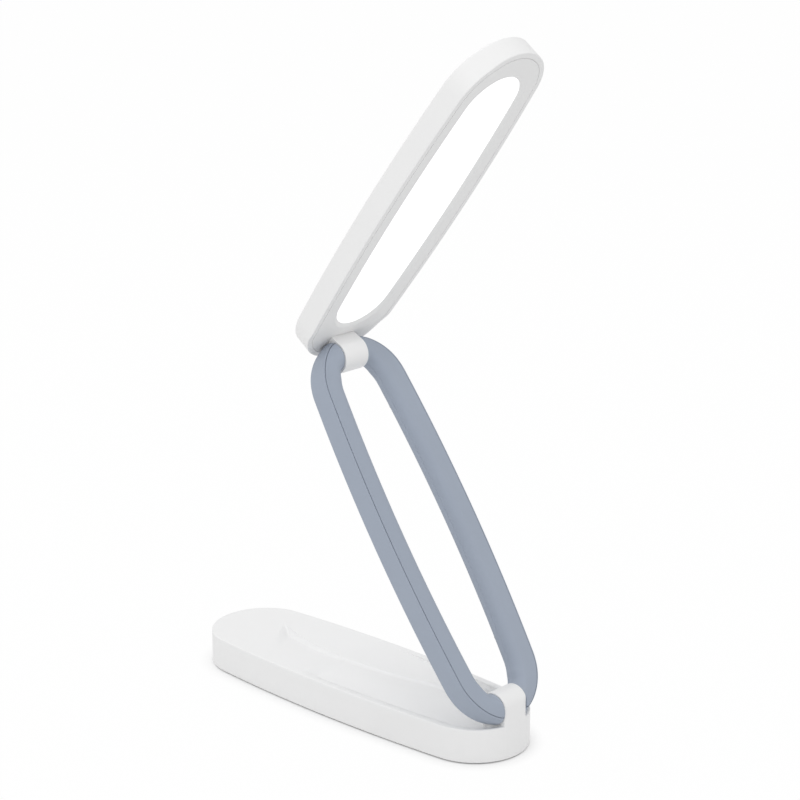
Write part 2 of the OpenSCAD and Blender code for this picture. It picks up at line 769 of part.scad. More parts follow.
module branch_back() difference() {
    union() {
        difference() {
            intersection() {
                union() {
                    band(-half_arm, arm_wall - half_arm, 0, tube_width);
                    band(-half_arm, half_arm, 0, arm_outer_wall);
                    band(-half_arm, half_arm - arm_wall - shell_gap, 0, arm_outer_wall + ledge_width);
                    band(-half_arm, 0, tube_width - arm_wall, tube_width);
                    band(-half_arm, corner_rise - half_arm, tube_width - corner_reach, tube_width);
                    intersection() {
                        band(-half_arm, 0, 0, tube_width);
                        end_blocks();
                    }
                }
                beyond_slot(slot_half);
            }
            mirror([0, 0, 1]) edge_cut();
        }
        each_arm_end() cross_rod(slot_half, barrel_end, barrel_radius);
        each_arm_screw() rod(-half_arm, -shell_gap, arm_boss_radius);
    }
    end_waste();
    each_arm_end() cross_rod(0, barrel_end + overrun, pin_radius + pin_fit);
    each_arm_screw() {
        rod(-arm_thickness, arm_thickness, arm_screw_radius + shell_gap);
        rod(-arm_thickness, arm_head_thickness - half_arm, arm_head_radius + shell_gap);
    }
}

module branch_front() difference() {
    union() {
        difference() {
            intersection() {
                union() {
                    band(half_arm - arm_wall, half_arm, front_depth, tube_width);
                    band(shell_gap, half_arm, tube_width - arm_wall, tube_width);
                    band(half_arm - corner_rise, half_arm, tube_width - corner_reach, tube_width);
                    intersection() {
                        band(shell_gap, half_arm, front_depth + ledge_width, tube_width);
                        end_blocks();
                    }
                }
                beyond_slot(slot_half);
            }
            edge_cut();
        }
        each_arm_screw() rod(shell_gap, half_arm - arm_wall / 2, arm_boss_radius);
    }
    end_waste();
    each_arm_end() cross_rod(0, barrel_end + shell_gap, barrel_radius + shell_gap);
    each_arm_screw() rod(0, arm_head_thickness - half_arm + arm_screw_length, arm_screw_radius + pin_fit);
}

module arm_right_back() color(slate) place_arm() branch_back();
module arm_right_front() color(slate) place_arm() branch_front();
module arm_left_back() color(slate) place_arm() mirror([1, 0, 0]) branch_back();
module arm_left_front() color(slate) place_arm() mirror([1, 0, 0]) branch_front();

module arm_screws() color(steel) place_arm() for (side = [0, 1]) mirror([side, 0, 0]) each_arm_screw() {
    rod(-half_arm, arm_head_thickness - half_arm, arm_head_radius);
    rod(-half_arm, arm_head_thickness - half_arm + arm_screw_length - shell_gap, arm_screw_radius);
}

// Lengthwise places of the arm lead's bends from the arm's middle, as shares of half the axis distance
lead_end_share = 0.93;
lead_knee_share = 0.72;
lead_corner_share = 1.2;
half_axis = axis_distance / 2;
lead_corner = half_width - tube_width + lead_corner_share * lead_radius;
lead_half = [
    [lead_way_radius, half_axis, 0], [barrel_end + lead_radius, half_axis, 0],
    [lead_corner, lead_end_share * half_axis, 0],
    [side_place(lead_knee_share * half_axis, arm_lead_depth), lead_knee_share * half_axis, 0]
];

module arm_lead() color(dark) place_arm() lead(concat(
    lead_half, [[half_width - arm_lead_depth, 0, 0]],
    [for (i = [3 : -1 : 0]) [lead_half[i][0], -lead_half[i][1], 0]]
), [0, 0, 1]);

module head_slab(low, high, inset = 0) {
    translate([0, head_middle, 0]) slab(low, high, inset);
}

module window(inset) {
    translate([0, window_place]) oval(window_length / 2, window_width / 2, window_arc_radius, inset);
}

module window_slab(low, high, inset) {
    translate([0, 0, low]) linear_extrude(high - low) window(inset);
}

board_low = head_floor + light_board_stand;
board_high = board_low + light_board_thickness;
frame_low = lit_level - frame_thickness;
rim_low = lit_level - diffuser_thickness;
plate_high = frame_low - stack_gap;
plate_low = plate_high - strap_plate_thickness;
light_screw_y = light_board_length / 2 - board_screw_inset;

module each_knuckle_screw() {
    for (side = [-1, 1]) translate([side * strap_screw_side, strap_screw_along, 0]) children();
}

module each_light_screw() {
    for (side = [-1, 1]) translate([0, window_place + side * light_screw_y, 0]) children();
}

module head_housing() color(white) place_head() difference() {
    union() {
        difference() {
            head_slab(lit_level - head_thickness, lit_level);
            head_slab(head_floor, lit_level, head_wall + head_ledge);
            head_slab(frame_low, lit_level + overrun, head_wall);
        }
        each_knuckle_screw() rod(head_floor - head_back / 2, plate_low, strap_boss_radius);
        each_light_screw() rod(head_floor - head_back / 2, board_low, board_head_radius);
    }
    each_knuckle_screw() rod(head_floor, plate_low + overrun, board_screw_radius + pin_fit);
    each_light_screw() rod(head_floor - head_back / 2, board_low + overrun, board_screw_radius + pin_fit);
}

module head_frame() color([0.9, 0.9, 0.9]) place_head() difference() {
    head_slab(frame_low, lit_level, head_wall + head_groove);
    window_slab(frame_low - overrun, lit_level + overrun, 0);
    box([-knuckle_half_width - strap_gap, knuckle_half_width + strap_gap],
        [-half_length, knuckle_foot + strap_gap], [frame_low - overrun, lit_level + overrun]);
    each_knuckle_screw() rod(
        frame_low - overrun, plate_high + board_head_thickness + strap_gap, board_head_radius + strap_gap
    );
}

module head_knuckle() color(white) place_head() difference() {
    union() {
        intersection() {
            across(knuckle_half_width)
                knuckle_profile(head_knuckle_radius, lit_face_drop - strap_gap, lit_face_drop - strap_gap);
            head_slab(lit_level + strap_gap, 2 * head_knuckle_radius);
        }
        box([-knuckle_half_width, knuckle_half_width], [-strap_stem_back, knuckle_foot], [plate_low, 0]);
        box([-strap_plate_width / 2, strap_plate_width / 2],
            [-strap_plate_back, knuckle_foot + strap_plate_reach], [plate_low, plate_high]);
    }
    cross_rod(-half_width, half_width, clip_radius + pin_fit);
    rod(plate_low - overrun, 0, lead_way_radius);
    each_knuckle_screw() rod(plate_low - overrun, plate_high + overrun, board_screw_radius + strap_gap);
}

module knuckle_screws() color(steel) place_head() each_knuckle_screw() {
    rod(plate_high, plate_high + board_head_thickness, board_head_radius);
    rod(head_floor + stack_gap, plate_high + board_head_thickness, board_screw_radius);
}

module diffuser() color([0.98, 0.98, 0.98]) place_head() {
    window_slab(rim_low, lit_level, diffuser_gap);
    window_slab(rim_low, rim_low + diffuser_rim_thickness, -diffuser_rim);
}

module reflector_tray() color(white) place_head() difference() {
    window_slab(head_floor + stack_gap, rim_low - stack_gap, -diffuser_rim);
    window_slab(head_floor, rim_low, tray_wall - diffuser_rim);
}

module light_board() color([0.85, 0.85, 0.86]) place_head() difference() {
    translate([0, window_place, board_low]) linear_extrude(light_board_thickness)
        square([light_board_width, light_board_length], center = true);
    each_light_screw() rod(board_low - overrun, board_high + overrun, board_screw_radius + strap_gap);
}

module light_chips() color([0.95, 0.85, 0.4]) place_head() translate([0, window_place, board_high])
    for (row = [-1, 1], i = [0 : chips_per_row - 1])
        translate([row * chip_row_spacing / 2, (i - (chips_per_row - 1) / 2) * chip_spacing, 0])
            linear_extrude(chip_thickness) square([chip_width, chip_length], center = true);

module light_screws() color(steel) place_head() each_light_screw() {
    rod(board_high, board_high + board_head_thickness, board_head_radius);
    rod(head_floor, board_high + board_head_thickness, board_screw_radius);
}

module head_lead() color(dark) place_head() lead([
    [0, 0, -pin_radius - lead_radius], [0, 0, plate_low - 2 * lead_radius],
    [0, window_place - window_length / 2 - diffuser_rim - plate_gap, plate_low - 2 * lead_radius]
], [1, 0, 0]);

base_housing();
base_cover();
base_feet();
base_screws();
ballast_plate();
battery_pack();
control_board();
charging_socket();
touch_plate();
touch_spring();
base_lead();
lower_clips();
lower_washers();
lower_pin();
arm_left_back();
arm_left_front();
arm_right_back();
arm_right_front();
arm_screws();
arm_lead();
upper_pin();
upper_washers();
upper_clips();
head_housing();
head_frame();
head_knuckle();
knuckle_screws();
diffuser();
reflector_tray();
light_board();
light_chips();
light_screws();
head_lead();
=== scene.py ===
"""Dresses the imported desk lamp: shells, knuckles, lit window, finishes, lights and camera."""

import functools
import json
import math

import bmesh
import bpy
import numpy as np
from bpy.props import BoolProperty, FloatProperty, FloatVectorProperty, PointerProperty
from mathutils import Matrix, Vector
from mathutils.geometry import delaunay_2d_cdt


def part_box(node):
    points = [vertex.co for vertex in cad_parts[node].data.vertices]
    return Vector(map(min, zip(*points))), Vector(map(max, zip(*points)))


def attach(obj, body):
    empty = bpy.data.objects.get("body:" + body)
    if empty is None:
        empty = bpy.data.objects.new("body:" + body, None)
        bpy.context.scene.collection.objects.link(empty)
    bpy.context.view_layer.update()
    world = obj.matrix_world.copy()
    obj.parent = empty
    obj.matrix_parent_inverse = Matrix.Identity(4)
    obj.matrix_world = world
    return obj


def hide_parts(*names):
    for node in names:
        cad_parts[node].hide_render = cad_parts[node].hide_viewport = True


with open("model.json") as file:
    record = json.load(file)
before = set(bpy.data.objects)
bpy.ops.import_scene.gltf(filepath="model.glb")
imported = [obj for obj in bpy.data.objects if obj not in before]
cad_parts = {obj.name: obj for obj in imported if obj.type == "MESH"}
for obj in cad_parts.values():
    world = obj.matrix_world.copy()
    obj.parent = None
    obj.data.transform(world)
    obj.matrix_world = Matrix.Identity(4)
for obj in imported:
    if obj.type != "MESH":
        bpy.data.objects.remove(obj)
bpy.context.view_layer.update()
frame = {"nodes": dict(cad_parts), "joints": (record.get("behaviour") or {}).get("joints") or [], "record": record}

bl_info = {
    "name": "Folding desk lamp",
    "version": (1, 0, 0),
    "blender": (4, 5, 0),
    "location": "View3D > Sidebar > Desk lamp",
    "description": "Builds the moulded shells, finishes and stage of a folding desk lamp",
    "category": "Object",
}

MM = 0.001
PINS = {j["name"]: Vector(j["pos_m"]) / MM for j in frame["joints"]}
LOWER = PINS["lower_hinge"]
UPPER = PINS["upper_hinge"]
SLOTS = {part["node"]: part["material_slot"] for part in frame["record"]["subparts"]}

# Angles in degrees past which an edge is shaded sharp
SHELL_SHARP = 38
PACKED_SHARP = 32

# Steps along each end and each side of an outline
END_POINTS = 96
SIDE_POINTS = 40

# Middle of the curved wall in the base's recess, and how far along y the scoop's corner lies from it
RIDGE_X = 0.2
RIDGE_Y = 15.0
RIDGE_REACH = 55.0

# Widths of that wall's slope and of the slope inside the recess's rim
RIDGE_WIDTH = 3.2
RIM_WIDTH = 0.4

# Thickness of the frame round the window
FRAME_THICK = 2.0


def length(name, default, description):
    """A length property in metres."""
    return FloatProperty(name=name, description=description, default=default * MM, min=0.0,
                         precision=5, unit="LENGTH")


def angle(name, default, description):
    """An angle property in radians."""
    return FloatProperty(name=name, description=description, default=math.radians(default),
                         subtype="ANGLE", unit="ROTATION")


def colour(name, default, description):
    """A colour property."""
    return FloatVectorProperty(name=name, description=description, default=default, size=3,
                               min=0.0, max=1.0, subtype="COLOR")


class LampShape(bpy.types.PropertyGroup):
    """Sizes of the moulded shells."""

    half_length: length("Half length", 100, "Half of the length of the base, the arm and the head")
    half_width: length("Half width", 30.35, "Half of the width of the shared outline")
    side_radius: length("Side radius", 840, "Radius of the bowed sides")
    base_top: length("Base top", 17.75, "Height of the base's rim above the table")
    foot_gap: length("Foot gap", 0.8, "Gap between the base's edge and the table")
    base_round: length("Base edge", 0.7, "Rounding of the base's top edge")
    end_rim: length("End rim", 1.6, "Rim left at the ends of the recess")
    side_rim: length("Side rim", 4, "Rim left at the sides of the recess")
    ramp_fall: angle("Ramp fall", 2.35, "Fall of the recess floor toward the hinge")
    scoop_slope: angle("Scoop slope", 6.8, "Slope of the finger scoop")
    scoop_slant: angle("Scoop slant", 34.5, "Slant of the scoop's far end")
    ridge_radius: length("Ridge radius", 138, "Radius of the curved wall in the recess")
    knuckle_half: length("Knuckle half width", 7.75, "Half of the width of both white knuckles")
    knuckle_foot: length("Knuckle foot", 6.5, "Reach of each knuckle past its axis")
    base_knuckle: length("Base knuckle", 7.9, "Radius of the base's knuckle")
    head_knuckle: length("Head knuckle", 8.6, "Radius of the head's knuckle")
    tube_width: length("Tube width", 12.6, "Width of the arm's tube across the face")
    tube_thickness: length("Tube thickness", 11.72, "Thickness of the arm")
    tube_round: length("Tube rounding", 4.6, "Rounding of the tube's inner edges")
    corner_round: length("Outer edge", 0.5, "Rounding of the tube's outer front edge")
    lip_step: length("Lip step", 0.2, "How far the arm's front shell stands proud of the back shell's lip")
    barrel: length("Upper barrel", 7.25, "Radius of the arm's barrels beside the head's knuckle")
    low_barrel: length("Lower barrel", 7.6, "Radius of the arm's barrels beside the base's knuckle")
    head_thickness: length("Head thickness", 10.81, "Thickness of the head")
    face_drop: length("Face drop", 7.45, "Distance from the upper axis to the lit face")
    head_overhang: length("Head overhang", 8.55, "Reach of the head past the upper axis")
    rim_rise: length("Rim rise", 1.1, "How far the head's rim stands proud of the lit window")
    tip_rise: length("Tip rise", 0.3, "What is left of the rim's rise at the head's tip")
    rim_slope: length("Rim slope", 1.9, "Width of the slope from the lit window up to the rim")
    face_line: length("Face line", 2.85, "Distance of the face frame's line from the head's edge")
    window_length: length("Window length", 161.8, "Length of the lit window")
    window_width: length("Window width", 38, "Width of the lit window")
    window_place: length("Window place", 95.95, "Distance from the upper axis to the window's middle")
    arm_screw_along: length("Arm screw place", 62, "Distance of the arm's screws from its middle")
    arm_screw_depth: length("Arm screw depth", 8.4, "Depth of the arm's screws in from the outer wall")
    base_screw_head: length("Base screw head", 2.5, "Radius of the heads of the base's screws")


class LampFinish(bpy.types.PropertyGroup):
    """Colours of the finishes and the light."""

    white: colour("White shell", (0.835, 0.835, 0.835), "Colour of the moulded white shells")
    face: colour("Face frame", (0.79, 0.79, 0.79), "Colour of the frame round the lit window")
    slate: colour("Slate arm", (0.342, 0.386, 0.462), "Colour of the arm's shells")
    opal: colour("Opal window", (0.95, 0.95, 0.95), "Colour of the lit window")
    glow: FloatProperty(name="Glow", description="Strength of the lit window", default=0.55, min=0.0)
    floor: colour("Floor", (0.84, 0.84, 0.84), "Colour of the floor")
    table_white: BoolProperty(name="White surround", description="Shows the surround as plain white",
                              default=True)


def sizes():
    """The shape settings in millimetres, with the angles in radians."""
    group = bpy.context.scene.lamp_shape
    angles = ("ramp_fall", "scoop_slope", "scoop_slant")
    return {k: getattr(group, k) / (1 if k in angles else MM) for k in LampShape.__annotations__}


# Outlines

def oval_facts(l, w, r):
    """End centre, end radius and join angle of a bowed oval."""
    c = ((r - w) ** 2 - (r - l) ** 2) / (2 * (r - l))
    return c, l - c, math.atan2(c, r - w)


def oval(l, w, r, inset=0.0, slot=None, slot_cols=None, centre=0.0):
    """Points of a bowed oval, from the hinge end's left join anticlockwise.

    Where slot is given, the hinge end has columns at slot_cols, which run from -slot to slot.
    """
    c, e, join = oval_facts(l, w, r)
    reach = math.pi / 2 - join
    e -= inset
    whole = np.linspace(-reach, reach, END_POINTS + 1)
    phi = whole
    if slot is not None:
        out = np.linspace(math.asin(slot / e), reach, slot_start(slot_cols) + 1)[1:]
        phi = np.concatenate([-out[::-1], np.arcsin(np.array(slot_cols) / e), out])
    low = np.c_[e * np.sin(phi), -c - e * np.cos(phi)]
    psi = np.linspace(-join, join, SIDE_POINTS + 1)[1:-1]
    right = np.c_[w - r + (r - inset) * np.cos(psi), (r - inset) * np.sin(psi)]
    high = np.c_[-e * np.sin(whole), c + e * np.cos(whole)]
    left = -right
    points = np.vstack([low, right, high, left])
    points[:, 1] += centre
    return points


def oval_rings(shape, l, w, r, **where):
    """A function that adds a bowed oval to a shape, at an inset and a height."""
    return lambda inset, z: shape.ring(oval(l, w, r, inset, **where), z)


def rounding(steps):
    """Shares of a rounded edge's radius, inward and upward, from its start."""
    return [(1 - math.cos(t), math.sin(t)) for t in np.linspace(0, math.pi / 2, steps)]


def slot_start(slot_cols):
    """Number of an outline's first point that is a column at the hinge end."""
    return (END_POINTS - len(slot_cols) + 1) // 2


def oval_depth(x, y, l, w, r):
    """Distance of points inside a bowed oval from its edge."""
    c, e, join = oval_facts(l, w, r)
    ax, ay = np.abs(x), np.abs(y)
    end = e - np.hypot(ax, ay - c)
    side = r - np.hypot(ax + r - w, ay)
    return np.where(ay - c > ax * math.tan(join), end, side)


class Shape:
    """Collects points in millimetres and faces, then makes one mesh object."""

    def __init__(self):
        self.points = []
        self.faces = []

    def add(self, points):
        start = len(self.points)
        self.points.extend(tuple(map(float, p)) for p in points)
        return list(range(start, len(self.points)))

    def ring(self, flat, z):
        return self.add([(p[0], p[1], z) for p in flat])

    def bridge(self, a, b, closed=True, gap=()):
        """Quads between two rows of equal length, but for the columns of a gap."""
        n = len(a)
        for i in range(n if closed else n - 1):
            j = (i + 1) % n
            if i not in gap:
                self.faces.append((a[i], a[j], b[j], b[i]))

    def stack(self, rows, closed=True, gap=()):
        for a, b in zip(rows, rows[1:]):
            self.bridge(a, b, closed, gap)

    def fill(self, loop):
        self.faces.append(tuple(loop))

    def close(self, rows):
        """Joins rows in turn, and fills the first and the last."""
        self.stack(rows)
        self.fill(rows[0])
        self.fill(rows[-1])

    def make(self, name, transform=None):
        """Builds the object, in metres, with its place in its mesh."""
        points = np.array(self.points)
        if transform is not None:
            points = transform(points)
        mesh = bpy.data.meshes.new(name)
        mesh.from_pydata((points * MM).tolist(), [], [list(f) for f in self.faces])
        bm = bmesh.new()
        bm.from_mesh(mesh)
        bmesh.ops.remove_doubles(bm, verts=bm.verts, dist=1e-4 * MM)
        bmesh.ops.dissolve_degenerate(bm, edges=bm.edges, dist=1e-5 * MM)
        bmesh.ops.recalc_face_normals(bm, faces=bm.faces)
        bmesh.ops.triangulate(bm, faces=[f for f in bm.faces if len(f.verts) > 4])
        bm.to_mesh(mesh)
        bm.free()
        return linked(name, shaded(mesh, SHELL_SHARP))


def shaded(mesh, sharp):
    """A mesh shaded smooth, but for the edges past an angle."""
    mesh.shade_smooth()
    mesh.set_sharp_from_angle(angle=math.radians(sharp))
    return mesh


def linked(name, data):
    """A new object in the scene."""
    obj = bpy.data.objects.new(name, data)
    bpy.context.scene.collection.objects.link(obj)
    return obj


def steady(obj):
    """Keeps flat faces flat where small rounded edges meet them."""
    even = obj.modifiers.new("steady", "WEIGHTED_NORMAL")
    even.keep_sharp = True
    even.weight = 70


def settle(obj, body, node):
    """Gives a piece its body, the node that it stands for, and that node's slot and finish."""
    steady(obj)
    obj.data.materials.clear()
    obj.data.materials.append(finishes()[SLOTS[node]])
    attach(obj, body)
    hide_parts(node)
    return obj


def carve(obj, cutter):
    """Cuts one object out of another and applies the result."""
    cut = obj.modifiers.new("cut", "BOOLEAN")
    cut.operation, cut.solver, cut.object = "DIFFERENCE", "EXACT", cutter
    graph = bpy.context.evaluated_depsgraph_get()
    mesh = bpy.data.meshes.new_from_object(obj.evaluated_get(graph))
    obj.modifiers.clear()
    obj.data = shaded(mesh, SHELL_SHARP)
    bpy.data.objects.remove(cutter)


def turned(points, pivot, turn):
    """Points drawn round a hinge axis, turned about it and moved to their pin."""
    m = Matrix.Rotation(turn, 3, "X")
    return points @ np.array(m).T + np.array(pivot)


ARM_TURN = math.atan2(UPPER.z - LOWER.z, UPPER.y - LOWER.y)
ARM_REACH = math.hypot(UPPER.z - LOWER.z, UPPER.y - LOWER.y)
HEAD_TURN = math.radians(126.9)


def place_arm(points):
    """From the arm's own middle to the lamp's frame."""
    return turned(points + np.array([0, ARM_REACH / 2, 0]), LOWER, ARM_TURN)


def place_head(points):
    """From the upper hinge axis to the lamp's frame."""
    return turned(points, UPPER, HEAD_TURN)


def soft_max(a, b, k):
    """The larger of two values, with a rounded change from one to the other."""
    return 0.5 * (a + b + math.sqrt((a - b) ** 2 + k * k))


def smooth(t):
    """Share of a change that starts and ends softly."""
    t = np.clip(t, 0, 1)
    return t * t * (3 - 2 * t)


def drop(t, width, power):
    """Share of a wall's fall at a distance from its upper edge: steep at first, soft at the foot."""
    return 1 - (1 - np.clip(t / width, 0, 1)) ** power


def columns(half, edge):
    """Sideways places across a knuckle, close together at its rounded edges."""
    turn = np.linspace(0, math.pi / 2, 5)
    near = half - edge + edge * np.sin(turn)
    mid = np.linspace(0, half - edge, 11)[1:-1]
    side = np.concatenate([mid, near])
    return np.concatenate([-side[::-1], [0.0], side])


def edge_fall(x, half, edge):
    """How far a rounded edge falls back at a sideways place."""
    u = np.clip((abs(x) - (half - edge)) / edge, 0, 1)
    return edge * (1 - math.sqrt(max(0.0, 1 - u * u)))


def touch_angle(k, along, down):
    """Angle round a pin at which a knuckle's arc meets the line to its foot."""
    return math.acos(k / math.hypot(along, down)) - math.atan2(down, along)


def pin_arc(x, mid_y, mid_z, radius, wall, angles, soft):
    """Points of a knuckle's arc, which runs over softly into the end wall behind its pin."""
    run = []
    for a in angles:
        y = mid_y + radius * math.cos(a)
        run.append((x, soft_max(y, wall, soft) if a > math.pi / 2 else y, mid_z + radius * math.sin(a)))
    return run


# Base

def outline(s):
    """Half length, half width and side radius that the base, the arm and the head share."""
    return s["half_length"], s["half_width"], s["side_radius"]


def recess_outline(s):
    """The same of the recess."""
    l, w, r = outline(s)
    return l - s["end_rim"], w - s["side_rim"], r


def scoop_corner(s):
    """Where the scoop's slanted end meets the curved wall."""
    r = s["ridge_radius"]
    return RIDGE_X + r - math.sqrt(r * r - RIDGE_REACH ** 2), RIDGE_Y + RIDGE_REACH


def relief(x, y, s):
    """Height of the base's top inside its rim."""
    top, r = s["base_top"], s["ridge_radius"]

    # Inside the curved wall's circle the floor is a ramp that falls toward the hinge
    ramp = 3.0 - y
    far = top - math.tan(s["ramp_fall"]) * 0.5 * (ramp + np.sqrt(ramp * ramp + 4.0))
    into = np.hypot(x - r - RIDGE_X, y - RIDGE_Y) - r

    # Outside it the floor is a low crowned pad toward the hinge and the scoop toward the far end
    scoop_width, pad_radius, pad_drop = 38, 60, 0.6
    across = np.clip((x + s["half_width"] - s["side_rim"]) / scoop_width, 0, 1.2)
    scoop = top - math.tan(s["scoop_slope"]) * scoop_width * across ** 2.4
    crest = pad_radius - np.sqrt(pad_radius ** 2 - (x + 6) ** 2)
    pad = np.minimum(top - pad_drop - crest - math.tan(math.radians(1)) * (12 - y), far)
    cut = pad + smooth((y - 9) / 9) * (scoop - pad)

    # The scoop's slanted end, the curved wall and the slope inside the rim
    corner_x, corner_y = scoop_corner(s)
    past = (x - corner_x) * math.sin(s["scoop_slant"]) - (y - corner_y) * math.cos(s["scoop_slant"])
    near = top + smooth(past / 5) * (cut - top)
    inner = far + drop(into, RIDGE_WIDTH, 1.8) * (near - far)
    depth = oval_depth(x, y, *recess_outline(s))
    return top + drop(depth, RIM_WIDTH, 2.0) * (inner - top)


def recess_floor(shape, s, edge_line, cols, kw):
    """Adds the recess floor, triangulated between its feature lines but left open under the knuckle.

    Returns its points seen from above, their numbers in the shape, and where the knuckle's sides begin.
    """
    rl, rw, r = recess_outline(s)
    half = s["knuckle_half"]
    points, edges = [], []

    def line(xy, closed=False):
        start = len(points)
        points.extend(Vector(p) for p in xy)
        m = len(xy)
        edges.extend((start + i, start + (i + 1) % m) for i in range(m if closed else m - 1))

    line(edge_line, True)
    for d in (0.06, 0.15, 0.27, RIM_WIDTH, 0.9):
        line(oval(rl, rw, r, d, **kw), True)
    rr = s["ridge_radius"]

    def inner_line(xy, least=0.45):
        line(xy[oval_depth(*xy.T, rl, rw, r) > least])

    for d in (-0.5, -0.12, 0.0, 0.15, 0.4, 0.8, 1.3, 1.9, 2.5, RIDGE_WIDTH):
        t = np.radians(np.linspace(128, 232, 420))
        inner_line(np.c_[rr + RIDGE_X + (rr + d) * np.cos(t), RIDGE_Y + (rr + d) * np.sin(t)])
    corner_x, corner_y = scoop_corner(s)
    ca, sa = math.cos(s["scoop_slant"]), math.sin(s["scoop_slant"])
    for d in (-0.4, 0.0, 0.9):
        t = np.linspace(-45, 1.5, 90)
        inner_line(np.c_[corner_x + t * ca + d * sa, corner_y + t * sa - d * ca])
    foot = LOWER.y + s["knuckle_foot"]
    end_c, end_r, _ = oval_facts(rl, rw, r)
    start_y = -(end_c + math.sqrt(end_r ** 2 - half ** 2))
    side_y = np.linspace(start_y, foot, 12)
    for side in (-half, half):
        line(np.c_[np.full(12, side), side_y])
    line(np.c_[cols, np.full(len(cols), foot)])
    for d in (0.5, 1.2):
        for side in (-half - d, half + d):
            inner_line(np.c_[np.full(12, side), side_y + 0.3], 0.25)
        line(np.c_[cols, np.full(len(cols), foot + d)])

    # Grid of points between those lines
    step = 1.7
    gx, gy = np.meshgrid(np.arange(-30, 30, step), np.arange(-100, 100, step * 0.87))
    gx[1::2] += step / 2
    gx, gy = gx.ravel(), gy.ravel()
    near_ridge = np.hypot(gx - rr - RIDGE_X, gy - RIDGE_Y) - rr
    keep = oval_depth(gx, gy, rl, rw, r) > 1.6
    keep &= ~((near_ridge > -0.9) & (near_ridge < 3.6))
    points.extend(Vector(p) for p in np.c_[gx[keep], gy[keep]])
    out, _, tris, *_ = delaunay_2d_cdt(points, edges, [], 1, 1e-5)
    flat = np.array([(p.x, p.y) for p in out])
    z = relief(*flat.T, s)
    on_edge = np.abs(oval_depth(*flat.T, rl, rw, r)) < 1e-3
    z[on_edge] = s["base_top"]
    index = shape.add(np.c_[flat, z])
    for tri in tris:
        cx, cy = flat[list(tri)].mean(0)
        if abs(cx) >= half or cy >= foot:
            shape.faces.append(tuple(index[i] for i in tri))
    return flat, index, start_y


def base_shell(s):
    """The base's shell as one closed skin: wall, rim, recess and knuckle."""
    shape = Shape()
    l, w, r = outline(s)
    top, half, edge, soft = s["base_top"], s["knuckle_half"], 0.35, 0.25
    cols = columns(half, edge)
    kw = dict(slot=half, slot_cols=cols)
    ring = oval_rings(shape, l, w, r, **kw)
    fillet = s["base_round"]
    gap = s["foot_gap"]
    wall = [ring(0.25, gap), ring(0.06, gap + 0.08), ring(0.0, gap + 0.28)]
    wall += [ring(0.0, z) for z in (6.0, 11.0, 14.5, top - fillet)]
    rim = [ring(fillet * inward, top - fillet + fillet * up) for inward, up in rounding(7)[1:]]
    edge_line = oval(*recess_outline(s), **kw)
    rim.append(shape.ring(edge_line, top))
    shape.stack(wall)

    # The hinge end's columns carry the knuckle instead of the rim
    first = slot_start(cols)
    last = first + len(cols) - 1
    shape.stack([wall[-1]] + rim, gap=range(first, last))

    # Inside of the shell: a thin lip round the cover, the seat above it, then the wall up to the ceiling
    lip, thick, seat, ceiling = 1.4, 2.2, gap + 2.15, 11.6
    inside = [wall[0], ring(lip, gap), ring(lip, seat), ring(thick, seat), ring(thick, ceiling)]
    shape.stack(inside)
    shape.fill(inside[-1])

    foot = LOWER.y + s["knuckle_foot"]
    flat, index, start_y = recess_floor(shape, s, edge_line, cols, kw)

    # Knuckle: one profile for each column, from the wall over the pin to the floor behind it
    k = s["base_knuckle"]
    py, pz = LOWER.y, LOWER.z
    end_c, end_r, _ = oval_facts(l, w, r)
    turns = np.linspace(math.pi, touch_angle(k, s["knuckle_foot"], pz - top), 34)[1:]
    profiles = []
    for x in cols:
        fall = edge_fall(x, half, edge)
        face = -(end_c + math.sqrt(end_r ** 2 - x * x))
        run = []
        for z in np.linspace(top - fillet, pz, 14):
            grow = smooth((z - top - 0.2) / 2.2)
            run.append((x, soft_max(py - k + fall * grow, face + fall * grow, soft * grow), z))
        run[0] = (x, face, top - fillet)
        run += pin_arc(x, py, pz, k - fall, face + fall, turns, soft)
        run += [(x, foot - fall * 0.9, top + 0.6), (x, foot - fall * 0.4, top)]
        sunk = float(relief(x, foot, s)) - top
        run += [(x, foot, top + sunk * t) for t in (0.35, 0.7, 1.0)]
        profiles.append(shape.add(run))
    shape.stack(profiles, closed=False)
    for side, column in ((-1, 0), (1, -1)):
        on_side = [index[i] for i in range(len(flat))
                   if abs(flat[i, 0] - side * half) < 2e-4 and start_y - 1e-3 < flat[i, 1] < foot + 1e-3]
        on_side.sort(key=lambda i: -shape.points[i][1])
        col = first if side < 0 else last
        down = [row[col] for row in reversed(rim)]
        shape.fill(profiles[column] + on_side[1:-1] + down)
    return shape


# Arm

